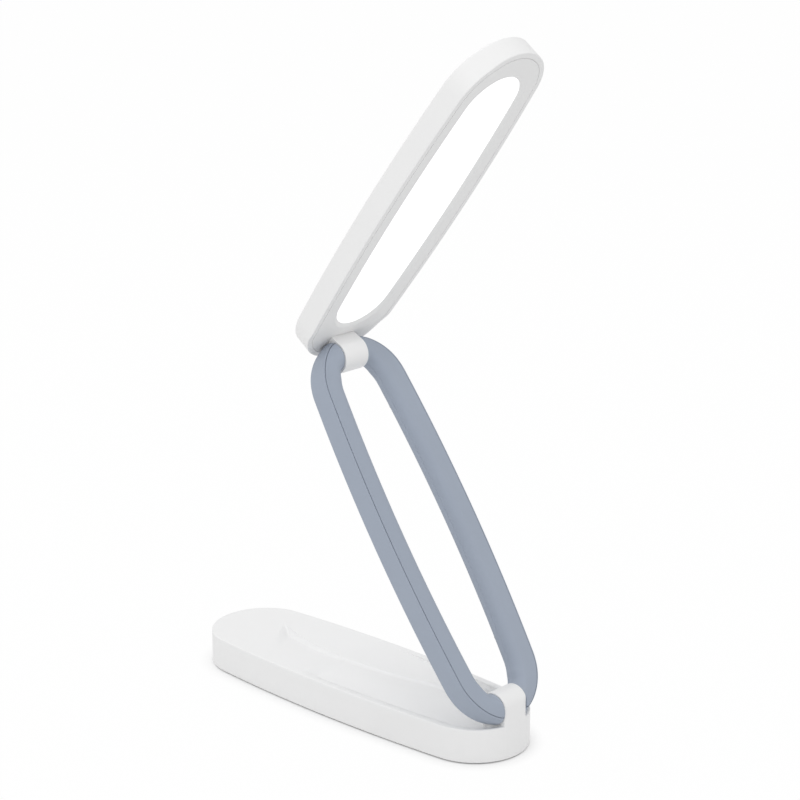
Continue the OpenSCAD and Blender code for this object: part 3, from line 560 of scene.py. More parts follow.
def arm_profiles(s):
    """The two shells' closed profiles.

    Each point is its depth from the outer wall, its height, and its depth below the skin at a barrel.
    """
    half = s["tube_thickness"] / 2
    rnd, wide, corner = s["tube_round"], s["tube_width"], s["corner_round"]
    wall, deep, back_round = 1.6, 4.9, 0.9
    lip, cover = 0.66, 0.98

    def bend(cd, cz, r, a0, a1, n, below, lower=0.0):
        return [(cd + r * math.cos(t), cz + (r - lower) * math.sin(t), below)
                for t in np.radians(np.linspace(a0, a1, n))]

    def inner_edge(up):
        """The run round a shell's inner edge and back inside its wall."""
        run = bend(wide - rnd, half - rnd, rnd, 90, 0, 14, 0.0)
        run += [(wide, 0.35, 0.0), (wide, 0.12, 0.0), (wide - 0.1, 0.02, 0.1), (wide - wall, 0.02, deep)]
        run += bend(wide - rnd, half - rnd, rnd - wall, 0, 90, 8, deep)
        return [(d, up * z, below) for d, z, below in run]

    # The front shell stands a little proud of the back shell's lip
    back = bend(corner, half - corner, corner, 75, 180, 9, 0.0, s["lip_step"])
    back += [(0.0, z, 0.0) for z in (2.0, 0.0, -2.0)]
    back += bend(back_round, -half + back_round, back_round, 180, 270, 6, 0.0)
    back += [(d, -half, 0.0) for d in (2.6, 4.4, 6.2)]
    back += inner_edge(-1)
    back += [(3.2, wall - half, deep), (1.8, wall - half, deep)]
    back += [(1.8, 2.4, deep), (2.7, 3.3, deep), (2.7, 4.18, 1.3), (2.1, 4.18, 1.3),
             (lip, 4.6, 0.75), (lip, 5.1, 0.35)]

    # The groove lies between the lip and the front shell's edge
    front = [(cover, 4.85, 1.0), (cover, half - 0.25, 0.25), (cover + 0.03, half - 0.08, 0.08),
             (cover + 0.14, half, 0.0)]
    front += [(d, half, 0.0) for d in (2.2, 3.6, 5.0, 6.5)]
    front += inner_edge(1)
    front += [(3.2, half - wall, deep), (2.4, half - wall, deep)]
    return np.array(back), np.array(front)


def arm_section(profile, s, along, turn, mix, place):
    """One section of the tube, which runs over into the round barrel beside its knuckle.

    The place holds the section's sideways place on the barrel, the fall of its edge and its radius.
    """
    l, w, r = outline(s)
    c, e, _ = oval_facts(l, w, r)
    d, z, below = profile.T
    if turn is None:
        rad = r - d
        tube = np.c_[w - r + rad * math.cos(along), rad * math.sin(along), z]
    else:
        tube = np.c_[(e - d) * math.sin(turn), c + (e - d) * math.cos(turn), z]
    if mix <= 0:
        return tube
    mid = l - ARM_REACH / 2
    a = np.arctan2(z, mid - d)
    wide = place[2] - below - place[1] * (below < 0.5)
    round_ = np.c_[np.full(len(d), place[0]), ARM_REACH / 2 + wide * np.cos(a), wide * np.sin(a)]
    return tube * (1 - mix) + round_ * mix


def arm_shell(profile, s, mirrored):
    """One shell of one branch, from the lower barrel to the upper one."""
    c, e, join = oval_facts(*outline(s))
    play = 0.25
    slot = s["knuckle_half"] + play
    flank = slot + 1.2
    wide = s["tube_width"] / 2
    first = math.asin(flank / (e - wide))
    begin = math.radians(64)
    shape = Shape()
    rows = []

    def branch(barrel):
        """Sections of one half of the branch, from its middle to its barrel."""
        half = [arm_section(profile, s, t, None, 0, None) for t in np.linspace(0, join, 26)]
        for turn in np.linspace(math.pi / 2 - join, first, 44)[1:]:
            t = np.clip((begin - turn) / (begin - first), 0, 1)
            middle = (e - wide) * math.sin(turn)
            place = flank + (middle - flank) * (1 - t) * 0.9
            half.append(arm_section(profile, s, None, turn, smooth(t), (place, 0.0, barrel)))
        for x, fall in ((slot + 0.7, 0.0), (slot + 0.32, 0.03), (slot + 0.1, 0.13), (slot, 0.3)):
            half.append(arm_section(profile, s, None, first, 1.0, (x, fall, barrel)))
        return half

    side = np.array([-1 if mirrored else 1, 1, 1])
    for section in branch(s["low_barrel"])[:0:-1]:
        rows.append(shape.add(section * side * np.array([1, -1, 1])))
    for section in branch(s["barrel"]):
        rows.append(shape.add(section * side))
    shape.close(rows)
    return shape


# Head

def raise_rim(shape, s):
    """Raises the lit side by a slope round the window, and less at the ends that pass barrels and base."""
    # Points deeper than this stay, and the rise grows over the run and by this share of the way from the tip
    depth, run, growth = 0.65, 9.5, 0.125
    level = -s["face_drop"] - depth
    points = np.array(shape.points)
    tip = 2 * s["half_length"] - s["head_overhang"]
    rise = np.clip(s["tip_rise"] + growth * (tip - points[:, 1]), 0, s["rim_rise"])
    half = s["window_length"] / 2, s["window_width"] / 2, s["side_radius"]
    off = -oval_depth(points[:, 0], points[:, 1] - s["window_place"], *half)
    near = smooth((points[:, 1] - s["knuckle_foot"]) / run)
    lift = rise * near * np.clip(off / s["rim_slope"], 0, 1)
    points[:, 2] += np.where(points[:, 2] > level, lift, 0.0)
    shape.points = [tuple(map(float, p)) for p in points]


def head_shell(s):
    """The head's back shell with its soft edges and the ledge for the face frame."""
    shape = Shape()
    l, w, r = outline(s)
    centre = l - s["head_overhang"]
    lit = -s["face_drop"]
    back = lit - s["head_thickness"]
    ring = oval_rings(shape, l, w, r, centre=centre)
    line, soft, edge = s["face_line"], 0.4, 1.2
    floor, ledge = back + 1.6, lit - FRAME_THICK - 0.02
    rows = [ring(line + 1.0, floor), ring(line + 1.0, ledge), ring(line + 0.1, ledge),
            ring(line + 0.1, lit - 0.3), ring(line - 0.13, lit - 0.3), ring(line - 0.13, lit - 0.1),
            ring(line - 0.18, lit - 0.02), ring(line - 0.27, lit), ring(soft, lit)]
    rows += [ring(soft * inward, lit - soft + soft * up) for inward, up in rounding(6)[-2::-1]]
    rows += [ring(0.0, lit + (back - lit) * t) for t in (0.3, 0.6)]
    rows += [ring(edge * inward, back + edge - edge * up) for inward, up in rounding(9)]
    rows += [ring(3.0, back), ring(10.0, back)]
    shape.close(rows)
    raise_rim(shape, s)
    return shape


def moved(loop, by):
    """A closed line moved to its left, with its corners kept sharp."""
    a = loop - np.roll(loop, 1, 0)
    b = np.roll(loop, -1, 0) - loop
    a /= np.linalg.norm(a, axis=1)[:, None]
    b /= np.linalg.norm(b, axis=1)[:, None]
    na = np.c_[-a[:, 1], a[:, 0]]
    nb = np.c_[-b[:, 1], b[:, 0]]
    return loop + by * (na + nb) / (1 + (na * nb).sum(1))[:, None]


def fill_between(shape, outer, inner):
    """Flat faces between a ring of points and another inside it."""
    index, edges = outer + inner, []
    for start, ring in ((0, outer), (len(outer), inner)):
        edges += [(start + i, start + (i + 1) % len(ring)) for i in range(len(ring))]
    points = [Vector(shape.points[i][:2]) for i in index]
    out, _, tris, orig, *_ = delaunay_2d_cdt(points, edges, [], 1, 1e-6)
    flat = np.array([(p.x, p.y) for p in out])
    gap = [shape.points[i][:2] for i in inner]
    for tri in tris:
        if not within(*flat[list(tri)].mean(0), gap):
            shape.faces.append(tuple(index[orig[i][0]] for i in tri))


def plate(shape, outer, hole, top, bottom, edge, margin):
    """A flat plate with a hole and small rounded edges. Its upper side has rows across the hole's margin."""
    ends = []
    for loop, shares in ((outer, ()), (hole[::-1], (0.55, 1.0, 1.15))):
        rows = [shape.ring(moved(loop, edge * inward), top - edge + edge * up)
                for inward, up in rounding(5)]
        rows += [shape.ring(moved(loop, margin * share), top) for share in shares]
        low = shape.ring(loop, bottom)
        shape.stack([low] + rows)
        ends.append((rows[-1], low))
    for outside, inside in zip(*ends):
        fill_between(shape, outside, inside)


def within(x, y, loop):
    """Whether a point lies inside a loop."""
    loop = np.array(loop)
    nx, ny = np.roll(loop, -1, 0).T
    px, py = loop.T
    cross = ((py > y) != (ny > y)) & (x < (nx - px) * (y - py) / (ny - py + 1e-12) + px)
    return bool(cross.sum() % 2)


def face_frame(s):
    """The frame round the lit window, open where the knuckle's foot passes."""
    shape = Shape()
    l, w, r = outline(s)
    centre = l - s["head_overhang"]
    lit = -s["face_drop"]
    play = 0.12
    side = s["knuckle_half"] + play
    foot = s["knuckle_foot"] + play
    inset = s["face_line"] + 0.15
    outer = oval(l, w, r, inset, centre=centre)
    _, e, _ = oval_facts(l, w, r)
    near = centre - (l - e) - math.sqrt((e - inset) ** 2 - side ** 2)
    keep = ~((np.abs(outer[:, 0]) < side + 0.15) & (outer[:, 1] < 0))
    split = int(np.argmin(keep))
    notch = [(-side, near), (-side, foot), (side, foot), (side, near)]
    outer = np.vstack([outer[:split], notch, outer[split:][keep[split:]]])
    window = oval(s["window_length"] / 2, s["window_width"] / 2, r, 0.0, centre=s["window_place"])
    plate(shape, outer, window, lit, lit - FRAME_THICK, 0.1, s["rim_slope"])
    raise_rim(shape, s)
    return shape


def window_plate(s):
    """The opal window with its rim behind the frame."""
    shape = Shape()
    l, w, r = s["window_length"] / 2, s["window_width"] / 2, s["side_radius"]
    lit = -s["face_drop"]
    ring = oval_rings(shape, l, w, r, centre=s["window_place"])
    flange, play, edge, seat = -1.6, 0.12, 0.25, lit - 2.1
    rows = [ring(flange, lit - 3.0), ring(flange, seat), ring(play, seat), ring(play, lit - 0.3)]
    rows += [ring(play + edge * inward, lit - 0.3 + edge * up) for inward, up in rounding(5)[1:]]
    rows += [ring(2.0, lit - 0.04), ring(8.0, lit - 0.03)]
    shape.close(rows)
    return shape


def head_strap(s):
    """The head's knuckle: a strap round a line a little off its pin, with a flat foot."""
    shape = Shape()
    half, edge, foot, soft = s["knuckle_half"], 0.15, s["knuckle_foot"], 0.4

    # The arc's middle is a little off the pin, and its radius keeps the strap's back at the knuckle's reach
    mid_y, mid_z, inner_y = -0.45, -0.05, -4.6
    k = s["head_knuckle"] + mid_y
    low = -s["face_drop"]
    base = low - FRAME_THICK
    _, e, _ = oval_facts(*outline(s))
    turns = np.linspace(touch_angle(k, foot - mid_y, mid_z - low), math.pi, 44)
    rows = []
    for x in columns(half, edge):
        fall = edge_fall(x, half, edge)
        face = e - s["head_overhang"] - math.sqrt(e * e - x * x)
        run = [(x, foot, base), (x, foot - fall * 0.3, low + 0.02), (x, foot - fall, low + 0.5)]
        run += pin_arc(x, mid_y, mid_z, k - fall, face + fall, turns, soft)
        behind = soft_max(mid_y - k + fall, face + fall, soft)
        run += [(x, behind, low * t) for t in (0.25, 0.5, 0.75, 0.97)]
        run += [(x, inner_y, low * 0.97), (x, inner_y, base)]
        rows.append(shape.add(run))
    shape.close(rows)
    return shape


# Finishes

class Value:
    """A shader socket with arithmetic, so that masks and mixes are written as expressions."""

    def __init__(self, finish, socket):
        self.finish = finish
        self.socket = socket

    def _math(self, kind, *values):
        return self.finish.node("ShaderNodeMath", {"operation": kind}, dict(enumerate(values)))

    def __add__(self, other):
        return self._math("ADD", self, other)

    def __mul__(self, other):
        return self._math("MULTIPLY", self, other)

    __radd__ = __add__
    __rmul__ = __mul__

    def above(self, level):
        return self._math("GREATER_THAN", self, level)


class Finish:
    """A material and the short calls that wire its nodes."""

    def __init__(self, name, roughness, **fixed):
        self.material = bpy.data.materials.new(name)
        self.material.use_nodes = True
        self.tree = self.material.node_tree
        self.shader = self.tree.nodes["Principled BSDF"]
        self.shader.inputs["Roughness"].default_value = roughness
        for key, value in fixed.items():
            self.shader.inputs[key.replace("_", " ")].default_value = value
        self.place = self.node("ShaderNodeTexCoord", {}, {}, "Object")

    def node(self, kind, settings, values, out=0):
        made = self.tree.nodes.new(kind)
        for key, value in settings.items():
            setattr(made, key, value)
        for key, value in values.items():
            if isinstance(value, Value):
                self.tree.links.new(value.socket, made.inputs[key])
            else:
                made.inputs[key].default_value = value
        return Value(self, made.outputs[out])

    def noise(self, size, detail=2.0, rough=0.5, stretch=None):
        """Noise whose grain has the given size in metres."""
        place = self.place
        if stretch:
            place = self.node("ShaderNodeVectorMath", {"operation": "MULTIPLY"}, {0: place, 1: stretch})
        return self.node("ShaderNodeTexNoise", {}, {"Vector": place, "Scale": 1 / size, "Detail": detail,
                                                    "Roughness": rough}, "Fac")

    def grain(self, size):
        """Cells whose distance gives a moulded or rubbery grain."""
        return self.node("ShaderNodeTexVoronoi", {"feature": "SMOOTH_F1"},
                         {"Vector": self.place, "Scale": 1 / size, "Smoothness": 0.6}, "Distance")

    def blend(self, share, low, high):
        """A colour between two others."""
        return self.node("ShaderNodeMix", {"data_type": "RGBA"},
                         {0: share, 6: tint(low), 7: tint(high)}, 2)

    def feed(self, name, value):
        self.tree.links.new(value.socket, self.shader.inputs[name])

    def bump(self, height, strength, distance):
        normal = self.node("ShaderNodeBump", {}, {"Height": height, "Strength": strength,
                                                  "Distance": distance}, "Normal")
        self.feed("Normal", normal)


def tint(rgb):
    """A colour with full alpha, unless it is already a socket."""
    return rgb if isinstance(rgb, Value) else (*rgb[:3], 1.0)


def scaled(rgb, share):
    """A colour made lighter or darker."""
    return tuple(min(1.0, c * share) for c in rgb)


def moulded(name, rgb, roughness, grain=0.00022, depth=0.012):
    """Moulded plastic: a fine even spark texture, faint flow marks and slight drift of shade."""
    f = Finish(name, roughness)
    cloud = f.noise(0.035, 3.0)
    flow = f.noise(0.012, 2.0, stretch=(1.0, 0.25, 1.0))
    speck = f.noise(grain * 2.2, 1.0)
    shade = cloud * 0.6 + flow * 0.25 + speck * 0.15
    f.feed("Base Color", f.blend(shade, scaled(rgb, 0.982), scaled(rgb, 1.018)))
    f.feed("Roughness", roughness - 0.05 + 0.07 * cloud + 0.05 * speck)
    height = f.grain(grain) * 0.5 + speck * 0.35 + flow * 0.15
    f.bump(height, 0.35, depth * MM)
    return f.material


def slate_skin(name, rgb):
    """Soft matt slate of the arm: fine stipple, a dry sheen and slight drift along the tube."""
    f = Finish(name, 0.6, Sheen_Weight=0.06, Sheen_Roughness=0.5, Specular_IOR_Level=0.35)
    cloud = f.noise(0.028, 3.0)
    stipple = f.noise(0.00035, 2.0, 0.6)
    fine = f.grain(0.00018)
    shade = cloud * 0.55 + stipple * 0.45
    f.feed("Base Color", f.blend(shade, scaled(rgb, 0.955), scaled(rgb, 1.045)))
    f.feed("Roughness", 0.53 + 0.08 * cloud + 0.1 * stipple)
    f.bump(stipple * 0.6 + fine * 0.4, 0.4, 0.02 * MM)
    return f.material


def opal(name, rgb, glow):
    """The lit window: an even glow with the faint cloud of an opal sheet."""
    f = Finish(name, 0.35, Emission_Strength=glow)
    cloud = f.noise(0.03, 2.0)
    fine = f.noise(0.0008, 1.0)
    shade = cloud * 0.7 + fine * 0.3
    f.feed("Base Color", f.blend(shade, scaled(rgb, 0.985), rgb))
    f.feed("Emission Color", f.blend(shade, (0.97, 0.975, 0.98), (1.0, 1.0, 1.0)))
    f.feed("Roughness", 0.32 + 0.08 * fine)
    f.bump(fine, 0.2, 0.01 * MM)
    return f.material


def metal(name, rgb, roughness, grain=(1.0, 1.0, 1.0), size=0.0012):
    """Turned, drawn or rolled metal with fine lines and dull patches."""
    f = Finish(name, roughness, Metallic=1.0)
    lines = f.noise(size, 3.0, 0.7, grain)
    dull = f.noise(0.006, 2.0)
    f.feed("Base Color", f.blend(dull * 0.6 + lines * 0.4, scaled(rgb, 0.86), scaled(rgb, 1.08)))
    f.feed("Roughness", roughness - 0.07 + 0.14 * dull + 0.08 * lines)
    f.bump(lines, 0.3, 0.02 * MM)
    return f.material


def rubber(name, rgb, roughness=0.75):
    """Rubber or jacket with a fine pebbled skin."""
    f = Finish(name, roughness)
    pebble = f.grain(0.0005)
    dust = f.noise(0.004, 3.0)
    f.feed("Base Color", f.blend(dust, scaled(rgb, 0.8), scaled(rgb, 1.5)))
    f.feed("Roughness", roughness - 0.08 + 0.14 * dust)
    f.bump(pebble, 0.4, 0.04 * MM)
    return f.material


def coated(name, low, high, roughness, size=0.0011, cut=0.56):
    """A board or wrap whose surface shows two tones, such as mask over copper or a seam in a film."""
    f = Finish(name, roughness, Coat_Weight=0.3, Coat_Roughness=0.15)
    tracks = f.noise(size, 1.0, 0.3, (1.0, 0.15, 1.0)).above(cut)
    cloud = f.noise(0.01, 2.0)
    f.feed("Base Color", f.blend(tracks * 0.7 + cloud * 0.2, low, high))
    f.feed("Roughness", roughness - 0.04 + 0.1 * cloud)
    f.bump(tracks, 0.25, 0.03 * MM)
    return f.material


@functools.cache
def finishes():
    """Every finish of the lamp, by material slot, made once."""
    c = bpy.context.scene.lamp_finish
    white, face, slate = tuple(c.white), tuple(c.face), tuple(c.slate)
    return {
        "white_shell": moulded("white shell", white, 0.46),
        "white_cover": moulded("white cover", scaled(white, 0.95), 0.55, grain=0.0004, depth=0.03),
        "face_frame": moulded("face frame", face, 0.5, grain=0.00018, depth=0.009),
        "tray_white": moulded("tray white", (0.9, 0.9, 0.9), 0.7),
        "slate_shell": slate_skin("slate shell", slate),
        "slate_cover": slate_skin("slate cover", scaled(slate, 0.985)),
        "opal_diffuser": opal("opal window", tuple(c.opal), c.glow),
        "foot_rubber": rubber("foot rubber", (0.05, 0.05, 0.052)),
        "lead_jacket": rubber("lead jacket", (0.035, 0.035, 0.037), 0.6),
        "screw_steel": metal("screw nickel", (0.62, 0.6, 0.57), 0.3, size=0.0004),
        "ballast_steel": metal("ballast zinc", (0.5, 0.51, 0.53), 0.45, (1.0, 0.1, 1.0)),
        "socket_steel": metal("socket shell", (0.62, 0.62, 0.64), 0.3),
        "spring_steel": metal("spring steel", (0.5, 0.5, 0.52), 0.35),
        "pin_steel": metal("ground pin", (0.56, 0.56, 0.58), 0.22, (0.1, 1.0, 1.0), 0.0006),
        "touch_copper": metal("touch foil", (0.8, 0.45, 0.3), 0.35),
        "washer_plastic": moulded("washer plastic", (0.05, 0.05, 0.055), 0.5),
        "battery_wrap": coated("battery wrap", (0.05, 0.12, 0.3), (0.08, 0.18, 0.4), 0.3, 0.009, 0.62),
        "board_green": coated("board green", (0.02, 0.13, 0.05), (0.05, 0.24, 0.1), 0.35),
        "board_white": coated("board white", (0.78, 0.78, 0.79), (0.88, 0.88, 0.88), 0.4),
        "chip_phosphor": coated("chip phosphor", (0.85, 0.65, 0.12), (0.92, 0.78, 0.3), 0.25, 0.0006),
    }


# Operators

def cylinder(name, at, high, radius, place):
    """A plain round cutter along the height direction of a piece's own frame."""
    shape = Shape()
    t = np.linspace(0, 2 * math.pi, 48, endpoint=False)
    flat = np.c_[radius * np.cos(t) + at[0], radius * np.sin(t) + at[1]]
    shape.close([shape.ring(flat, at[2]), shape.ring(flat, high)])
    return shape.make(name, place)


def cross(at, deep, reach, place):
    """A cutter for the cross recess of a screw head, which narrows toward its floor."""
    shape = Shape()
    w, narrow = 0.17 * reach, 0.72
    flat = np.array([(reach, -w), (reach, w), (w, w), (w, reach), (-w, reach), (-w, w),
                     (-reach, w), (-reach, -w), (-w, -w), (-w, -reach), (w, -reach), (w, -w)])
    mouth = shape.ring(flat + at[:2], at[2] - 0.5)
    floor = shape.ring(flat * narrow + at[:2], at[2] + deep)
    shape.close([mouth, floor])
    return shape.make("recess", place)


def socket_cutter():
    """The charging mouth's cutter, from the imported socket's own box."""
    low, high = (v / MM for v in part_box("charging_socket"))
    mid = (low + high) / 2
    tall = (high.z - low.z) / 2 + 0.2
    flat = (high.x - low.x) / 2 - (high.z - low.z) / 2
    t = np.linspace(-math.pi / 2, math.pi / 2, 17)
    right = np.c_[flat + tall * np.cos(t), tall * np.sin(t)]
    loop = np.vstack([right, -right])
    shape = Shape()
    shape.close([shape.add([(p[0], y, mid.z + p[1]) for p in loop]) for y in (low.y - 0.5, high.y + 3)])
    return shape.make("socket_cutter")


def arm_screw_places(sides=(-1, 1)):
    """Places of the arm's screws on its back, in the arm's own frame."""
    s = sizes()
    r, along = s["side_radius"], s["arm_screw_along"]
    x = math.sqrt((r - s["arm_screw_depth"]) ** 2 - along ** 2) - (r - s["half_width"])
    return [(side * x, y, -s["tube_thickness"] / 2) for side in sides for y in (-along, along)]


def base_screw_places():
    """Places of the base's screws on its underside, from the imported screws' own box."""
    low, high = (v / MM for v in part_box("base_screws"))
    r = sizes()["base_screw_head"]
    return [(x * (high.x - r), y * (high.y - r), low.z) for x in (-1, 1) for y in (-1, 1)]


def crossed_screws(node, body, places, deep, reach, place):
    """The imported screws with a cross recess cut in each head."""
    obj = linked(node + "_crossed", frame["nodes"][node].data.copy())
    for at in places:
        carve(obj, cross(at, deep, reach, place))
    settle(obj, body, node)


def dress(nodes):
    """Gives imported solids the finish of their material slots."""
    for name in nodes:
        mesh = frame["nodes"][name].data
        mesh.materials.clear()
        mesh.materials.append(finishes()[SLOTS[name]])
        shaded(mesh, PACKED_SHARP)


def shell(body, name, maker, node, place=None):
    """Makes one moulded piece and puts it in its node's stead."""
    return settle(maker(sizes()).make(name, place), body, node)


class LAMP_OT_base_shell(bpy.types.Operator):
    """Builds the base's shell with its recess, knuckle and charging mouth"""

    bl_idname = "lamp.base_shell"
    bl_label = "Base shell"

    def execute(self, context):
        skin = shell("base", "base_shell_skin", base_shell, "base_housing")
        carve(skin, socket_cutter())
        steady(skin)
        return {"FINISHED"}


class LAMP_OT_base_underside(bpy.types.Operator):
    """Dresses the bottom cover, the feet and the cover's screws"""

    bl_idname = "lamp.base_underside"
    bl_label = "Base underside"

    def execute(self, context):
        dress(("base_cover", "base_feet"))
        crossed_screws("base_screws", "base", base_screw_places(), 0.7, 1.5, None)
        return {"FINISHED"}


class LAMP_OT_base_contents(bpy.types.Operator):
    """Dresses what the base holds: ballast, battery, board, socket, touch switch and lead"""

    bl_idname = "lamp.base_contents"
    bl_label = "Base contents"

    def execute(self, context):
        dress(("ballast_plate", "battery_pack", "control_board", "charging_socket", "touch_plate",
               "touch_spring", "base_lead"))
        return {"FINISHED"}


class LAMP_OT_hinges(bpy.types.Operator):
    """Dresses the pins, clips and washers of both hinges"""

    bl_idname = "lamp.hinges"
    bl_label = "Hinges"

    def execute(self, context):
        dress(("lower_pin", "lower_clips", "lower_washers", "upper_pin", "upper_clips", "upper_washers"))
        return {"FINISHED"}


class LAMP_OT_arm_shells(bpy.types.Operator):
    """Builds the two shells of each branch of the arm"""

    bl_idname = "lamp.arm_shells"
    bl_label = "Arm shells"

    def execute(self, context):
        back, front = arm_profiles(sizes())
        for side, turn in (("left", -1), ("right", 1)):
            for part, profile in (("back", back), ("front", front)):
                name = f"arm_{side}_{part}"
                maker = functools.partial(arm_shell, profile, mirrored=turn < 0)
                skin = shell("arm", name + "_skin", maker, name, place_arm)
                if part == "back":
                    for x, y, z in arm_screw_places((turn,)):
                        carve(skin, cylinder("well", (x, y, z - 1), z + 1, 1.82, place_arm))
                    steady(skin)
        return {"FINISHED"}


class LAMP_OT_arm_fittings(bpy.types.Operator):
    """Dresses the arm's screws and lead"""

    bl_idname = "lamp.arm_fittings"
    bl_label = "Arm fittings"

    def execute(self, context):
        dress(("arm_lead",))
        crossed_screws("arm_screws", "arm", arm_screw_places(), 0.6, 1.05, place_arm)
        return {"FINISHED"}


class LAMP_OT_head_shell(bpy.types.Operator):
    """Builds the head's back shell, whose lit rim has the face frame's finish"""

    bl_idname = "lamp.head_shell"
    bl_label = "Head shell"

    def execute(self, context):
        skin = shell("head", "head_shell_skin", head_shell, "head_housing", place_head)
        skin.data.materials.append(finishes()["face_frame"])
        foot, tip = place_head(np.array([[0.0, 0.0, 0.0], [0.0, 0.0, 1.0]]))
        depth, least_cosine = 0.35, 0.9
        level = -sizes()["face_drop"] - depth
        for face in skin.data.polygons:
            high = (np.array(face.center) / MM - foot) @ (tip - foot)
            if high > level and np.array(face.normal) @ (tip - foot) > least_cosine:
                face.material_index = 1
        return {"FINISHED"}


class LAMP_OT_face_frame(bpy.types.Operator):
    """Builds the frame round the lit window"""

    bl_idname = "lamp.face_frame"
    bl_label = "Face frame"

    def execute(self, context):
        shell("head", "face_frame_skin", face_frame, "head_frame", place_head)
        return {"FINISHED"}


class LAMP_OT_window(bpy.types.Operator):
    """Builds the opal window"""

    bl_idname = "lamp.window"
    bl_label = "Lit window"

    def execute(self, context):
        shell("head", "window_skin", window_plate, "diffuser", place_head)
        return {"FINISHED"}


class LAMP_OT_head_strap(bpy.types.Operator):
    """Builds the head's strap knuckle"""

    bl_idname = "lamp.head_strap"
    bl_label = "Head strap"

    def execute(self, context):
        shell("head", "head_strap_skin", head_strap, "head_knuckle", place_head)
        return {"FINISHED"}


class LAMP_OT_head_contents(bpy.types.Operator):
    """Dresses what the head holds: tray, light board, chips, screws and lead"""

    bl_idname = "lamp.head_contents"
    bl_label = "Head contents"

    def execute(self, context):
        dress(("reflector_tray", "light_board", "light_chips", "light_screws", "knuckle_screws",
               "head_lead"))
        return {"FINISHED"}


def make_floor(c):
    """The floor, which the camera sees as white where nothing stands close to it."""
    mesh = bpy.data.meshes.new("floor")
    mesh.from_pydata([(-6, -6, 0), (6, -6, 0), (6, 6, 0), (-6, 6, 0)], [], [(0, 1, 2, 3)])
    floor = linked("floor", mesh)
    f = Finish("floor", 0.8)
    tone = f.noise(0.5, 2.0)
    f.feed("Base Color", f.blend(tone, scaled(tuple(c.floor), 0.99), tuple(c.floor)))
    if c.table_white:
        seen, gloss, through = (f.node("ShaderNodeLightPath", {}, {}, f"Is {ray} Ray")
                                for ray in ("Camera", "Glossy", "Transmission"))
        glow = f.node("ShaderNodeEmission", {}, {"Color": (1, 1, 1, 1), "Strength": 1.0})
        clear = f.node("ShaderNodeAmbientOcclusion", {"samples": 12}, {"Distance": 0.008}, "AO")
        share = (seen + gloss + through) * 0.975 * clear
        both = f.node("ShaderNodeMixShader", {}, {0: share, 1: Value(f, f.shader.outputs[0]), 2: glow})
        f.tree.links.new(both.socket, f.tree.nodes["Material Output"].inputs["Surface"])
    mesh.materials.append(f.material)


def make_surround(scene):
    """An even light from all sides, weaker as a light than the white that the camera sees."""
    world = bpy.data.worlds.new("surround")
    scene.world = world
    world.use_nodes = True
    nodes, links = world.node_tree.nodes, world.node_tree.links
    nodes.clear()
    out = nodes.new("ShaderNodeOutputWorld")
    mix = nodes.new("ShaderNodeMixShader")
    path = nodes.new("ShaderNodeLightPath")
    links.new(path.outputs["Is Camera Ray"], mix.inputs[0])
    for place, strength in ((1, 0.785), (2, 1.0)):
        back = nodes.new("ShaderNodeBackground")
        back.inputs["Color"].default_value = (1.0, 1.0, 1.0, 1.0)
        back.inputs["Strength"].default_value = strength
        links.new(back.outputs[0], mix.inputs[place])
    links.new(mix.outputs[0], out.inputs[0])


def aim(obj, at, toward):
    """Places a light or the camera and points it at its target."""
    obj.location = at
    obj.rotation_euler = (Vector(toward) - Vector(at)).to_track_quat("-Z", "Y").to_euler()


def area_light(name, at, target_height, size, power):
    """A round light of a diameter in metres, aimed at a height above the origin."""
    data = bpy.data.lights.new(name, "AREA")
    data.shape, data.size, data.energy = "DISK", size, power
    aim(linked(name, data), at, (0, 0, target_height))


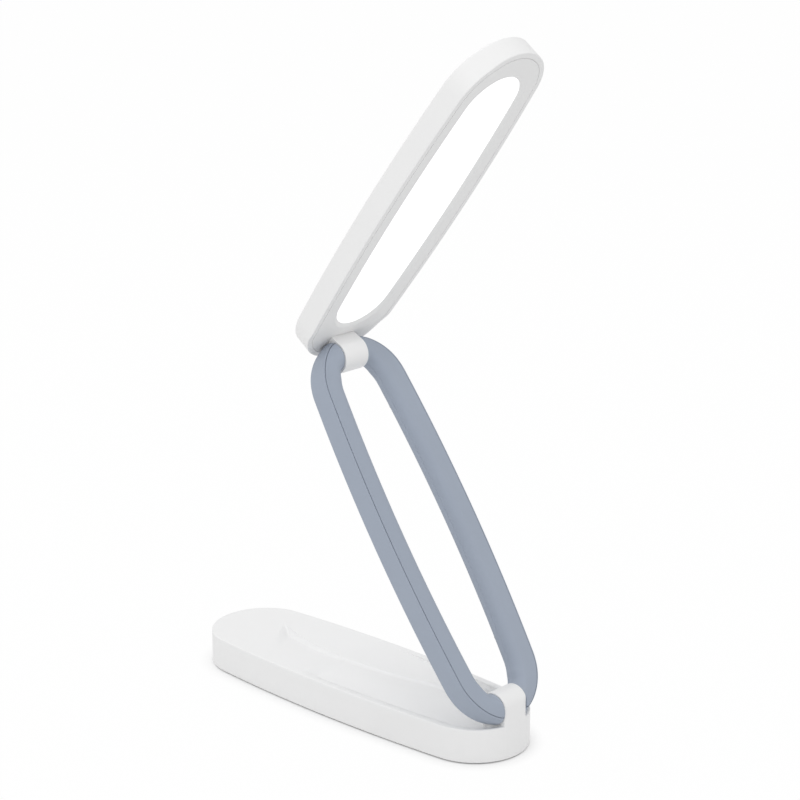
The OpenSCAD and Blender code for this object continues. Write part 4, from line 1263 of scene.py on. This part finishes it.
class LAMP_OT_stage(bpy.types.Operator):
    """Sets the floor, the lamps and the camera"""

    bl_idname = "lamp.stage"
    bl_label = "Stage"

    def execute(self, context):
        scene = context.scene
        make_floor(scene.lamp_finish)
        make_surround(scene)
        area_light("key", (-1.1, -0.2, 1.0), 0.15, 0.9, 3.7)
        area_light("fill", (0.3, -1.3, 0.7), 0.15, 1.0, 1.55)
        area_light("top", (0.1, 0.5, 1.5), 0.1, 1.0, 4.0)

        data = bpy.data.cameras.new("camera")
        data.lens, data.sensor_width = 104.928, 36.0
        data.clip_start, data.clip_end = 0.05, 30.0
        scene.camera = linked("camera", data)
        aim(scene.camera, (-0.780691, -0.748866, 0.489512), (0.0, -0.02415, 0.162244))
        scene.view_settings.view_transform = "Standard"
        return {"FINISHED"}


class LAMP_PT_panel(bpy.types.Panel):
    """Lists the lamp's settings and steps."""

    bl_idname = "LAMP_PT_panel"
    bl_label = "Desk lamp"
    bl_space_type = "VIEW_3D"
    bl_region_type = "UI"
    bl_category = "Desk lamp"

    def draw(self, context):
        for group in (context.scene.lamp_shape, context.scene.lamp_finish):
            box = self.layout.box()
            for key in group.__annotations__:
                box.prop(group, key)
        for step in STEPS:
            self.layout.operator(step.bl_idname)


STEPS = (LAMP_OT_base_shell, LAMP_OT_base_underside, LAMP_OT_base_contents, LAMP_OT_hinges,
         LAMP_OT_arm_shells, LAMP_OT_arm_fittings, LAMP_OT_head_shell, LAMP_OT_face_frame,
         LAMP_OT_window, LAMP_OT_head_strap, LAMP_OT_head_contents, LAMP_OT_stage)
CLASSES = (LampShape, LampFinish, *STEPS, LAMP_PT_panel)


def register():
    for cls in CLASSES:
        bpy.utils.register_class(cls)
    bpy.types.Scene.lamp_shape = PointerProperty(type=LampShape)
    bpy.types.Scene.lamp_finish = PointerProperty(type=LampFinish)


def unregister():
    del bpy.types.Scene.lamp_finish
    del bpy.types.Scene.lamp_shape
    for cls in reversed(CLASSES):
        bpy.utils.unregister_class(cls)


def main():
    register()
    bpy.ops.lamp.base_shell()
    bpy.ops.lamp.base_underside()
    bpy.ops.lamp.base_contents()
    bpy.ops.lamp.hinges()
    bpy.ops.lamp.arm_shells()
    bpy.ops.lamp.arm_fittings()
    bpy.ops.lamp.head_shell()
    bpy.ops.lamp.face_frame()
    bpy.ops.lamp.window()
    bpy.ops.lamp.head_strap()
    bpy.ops.lamp.head_contents()
    bpy.ops.lamp.stage()


if __name__ == "__main__":
    main()
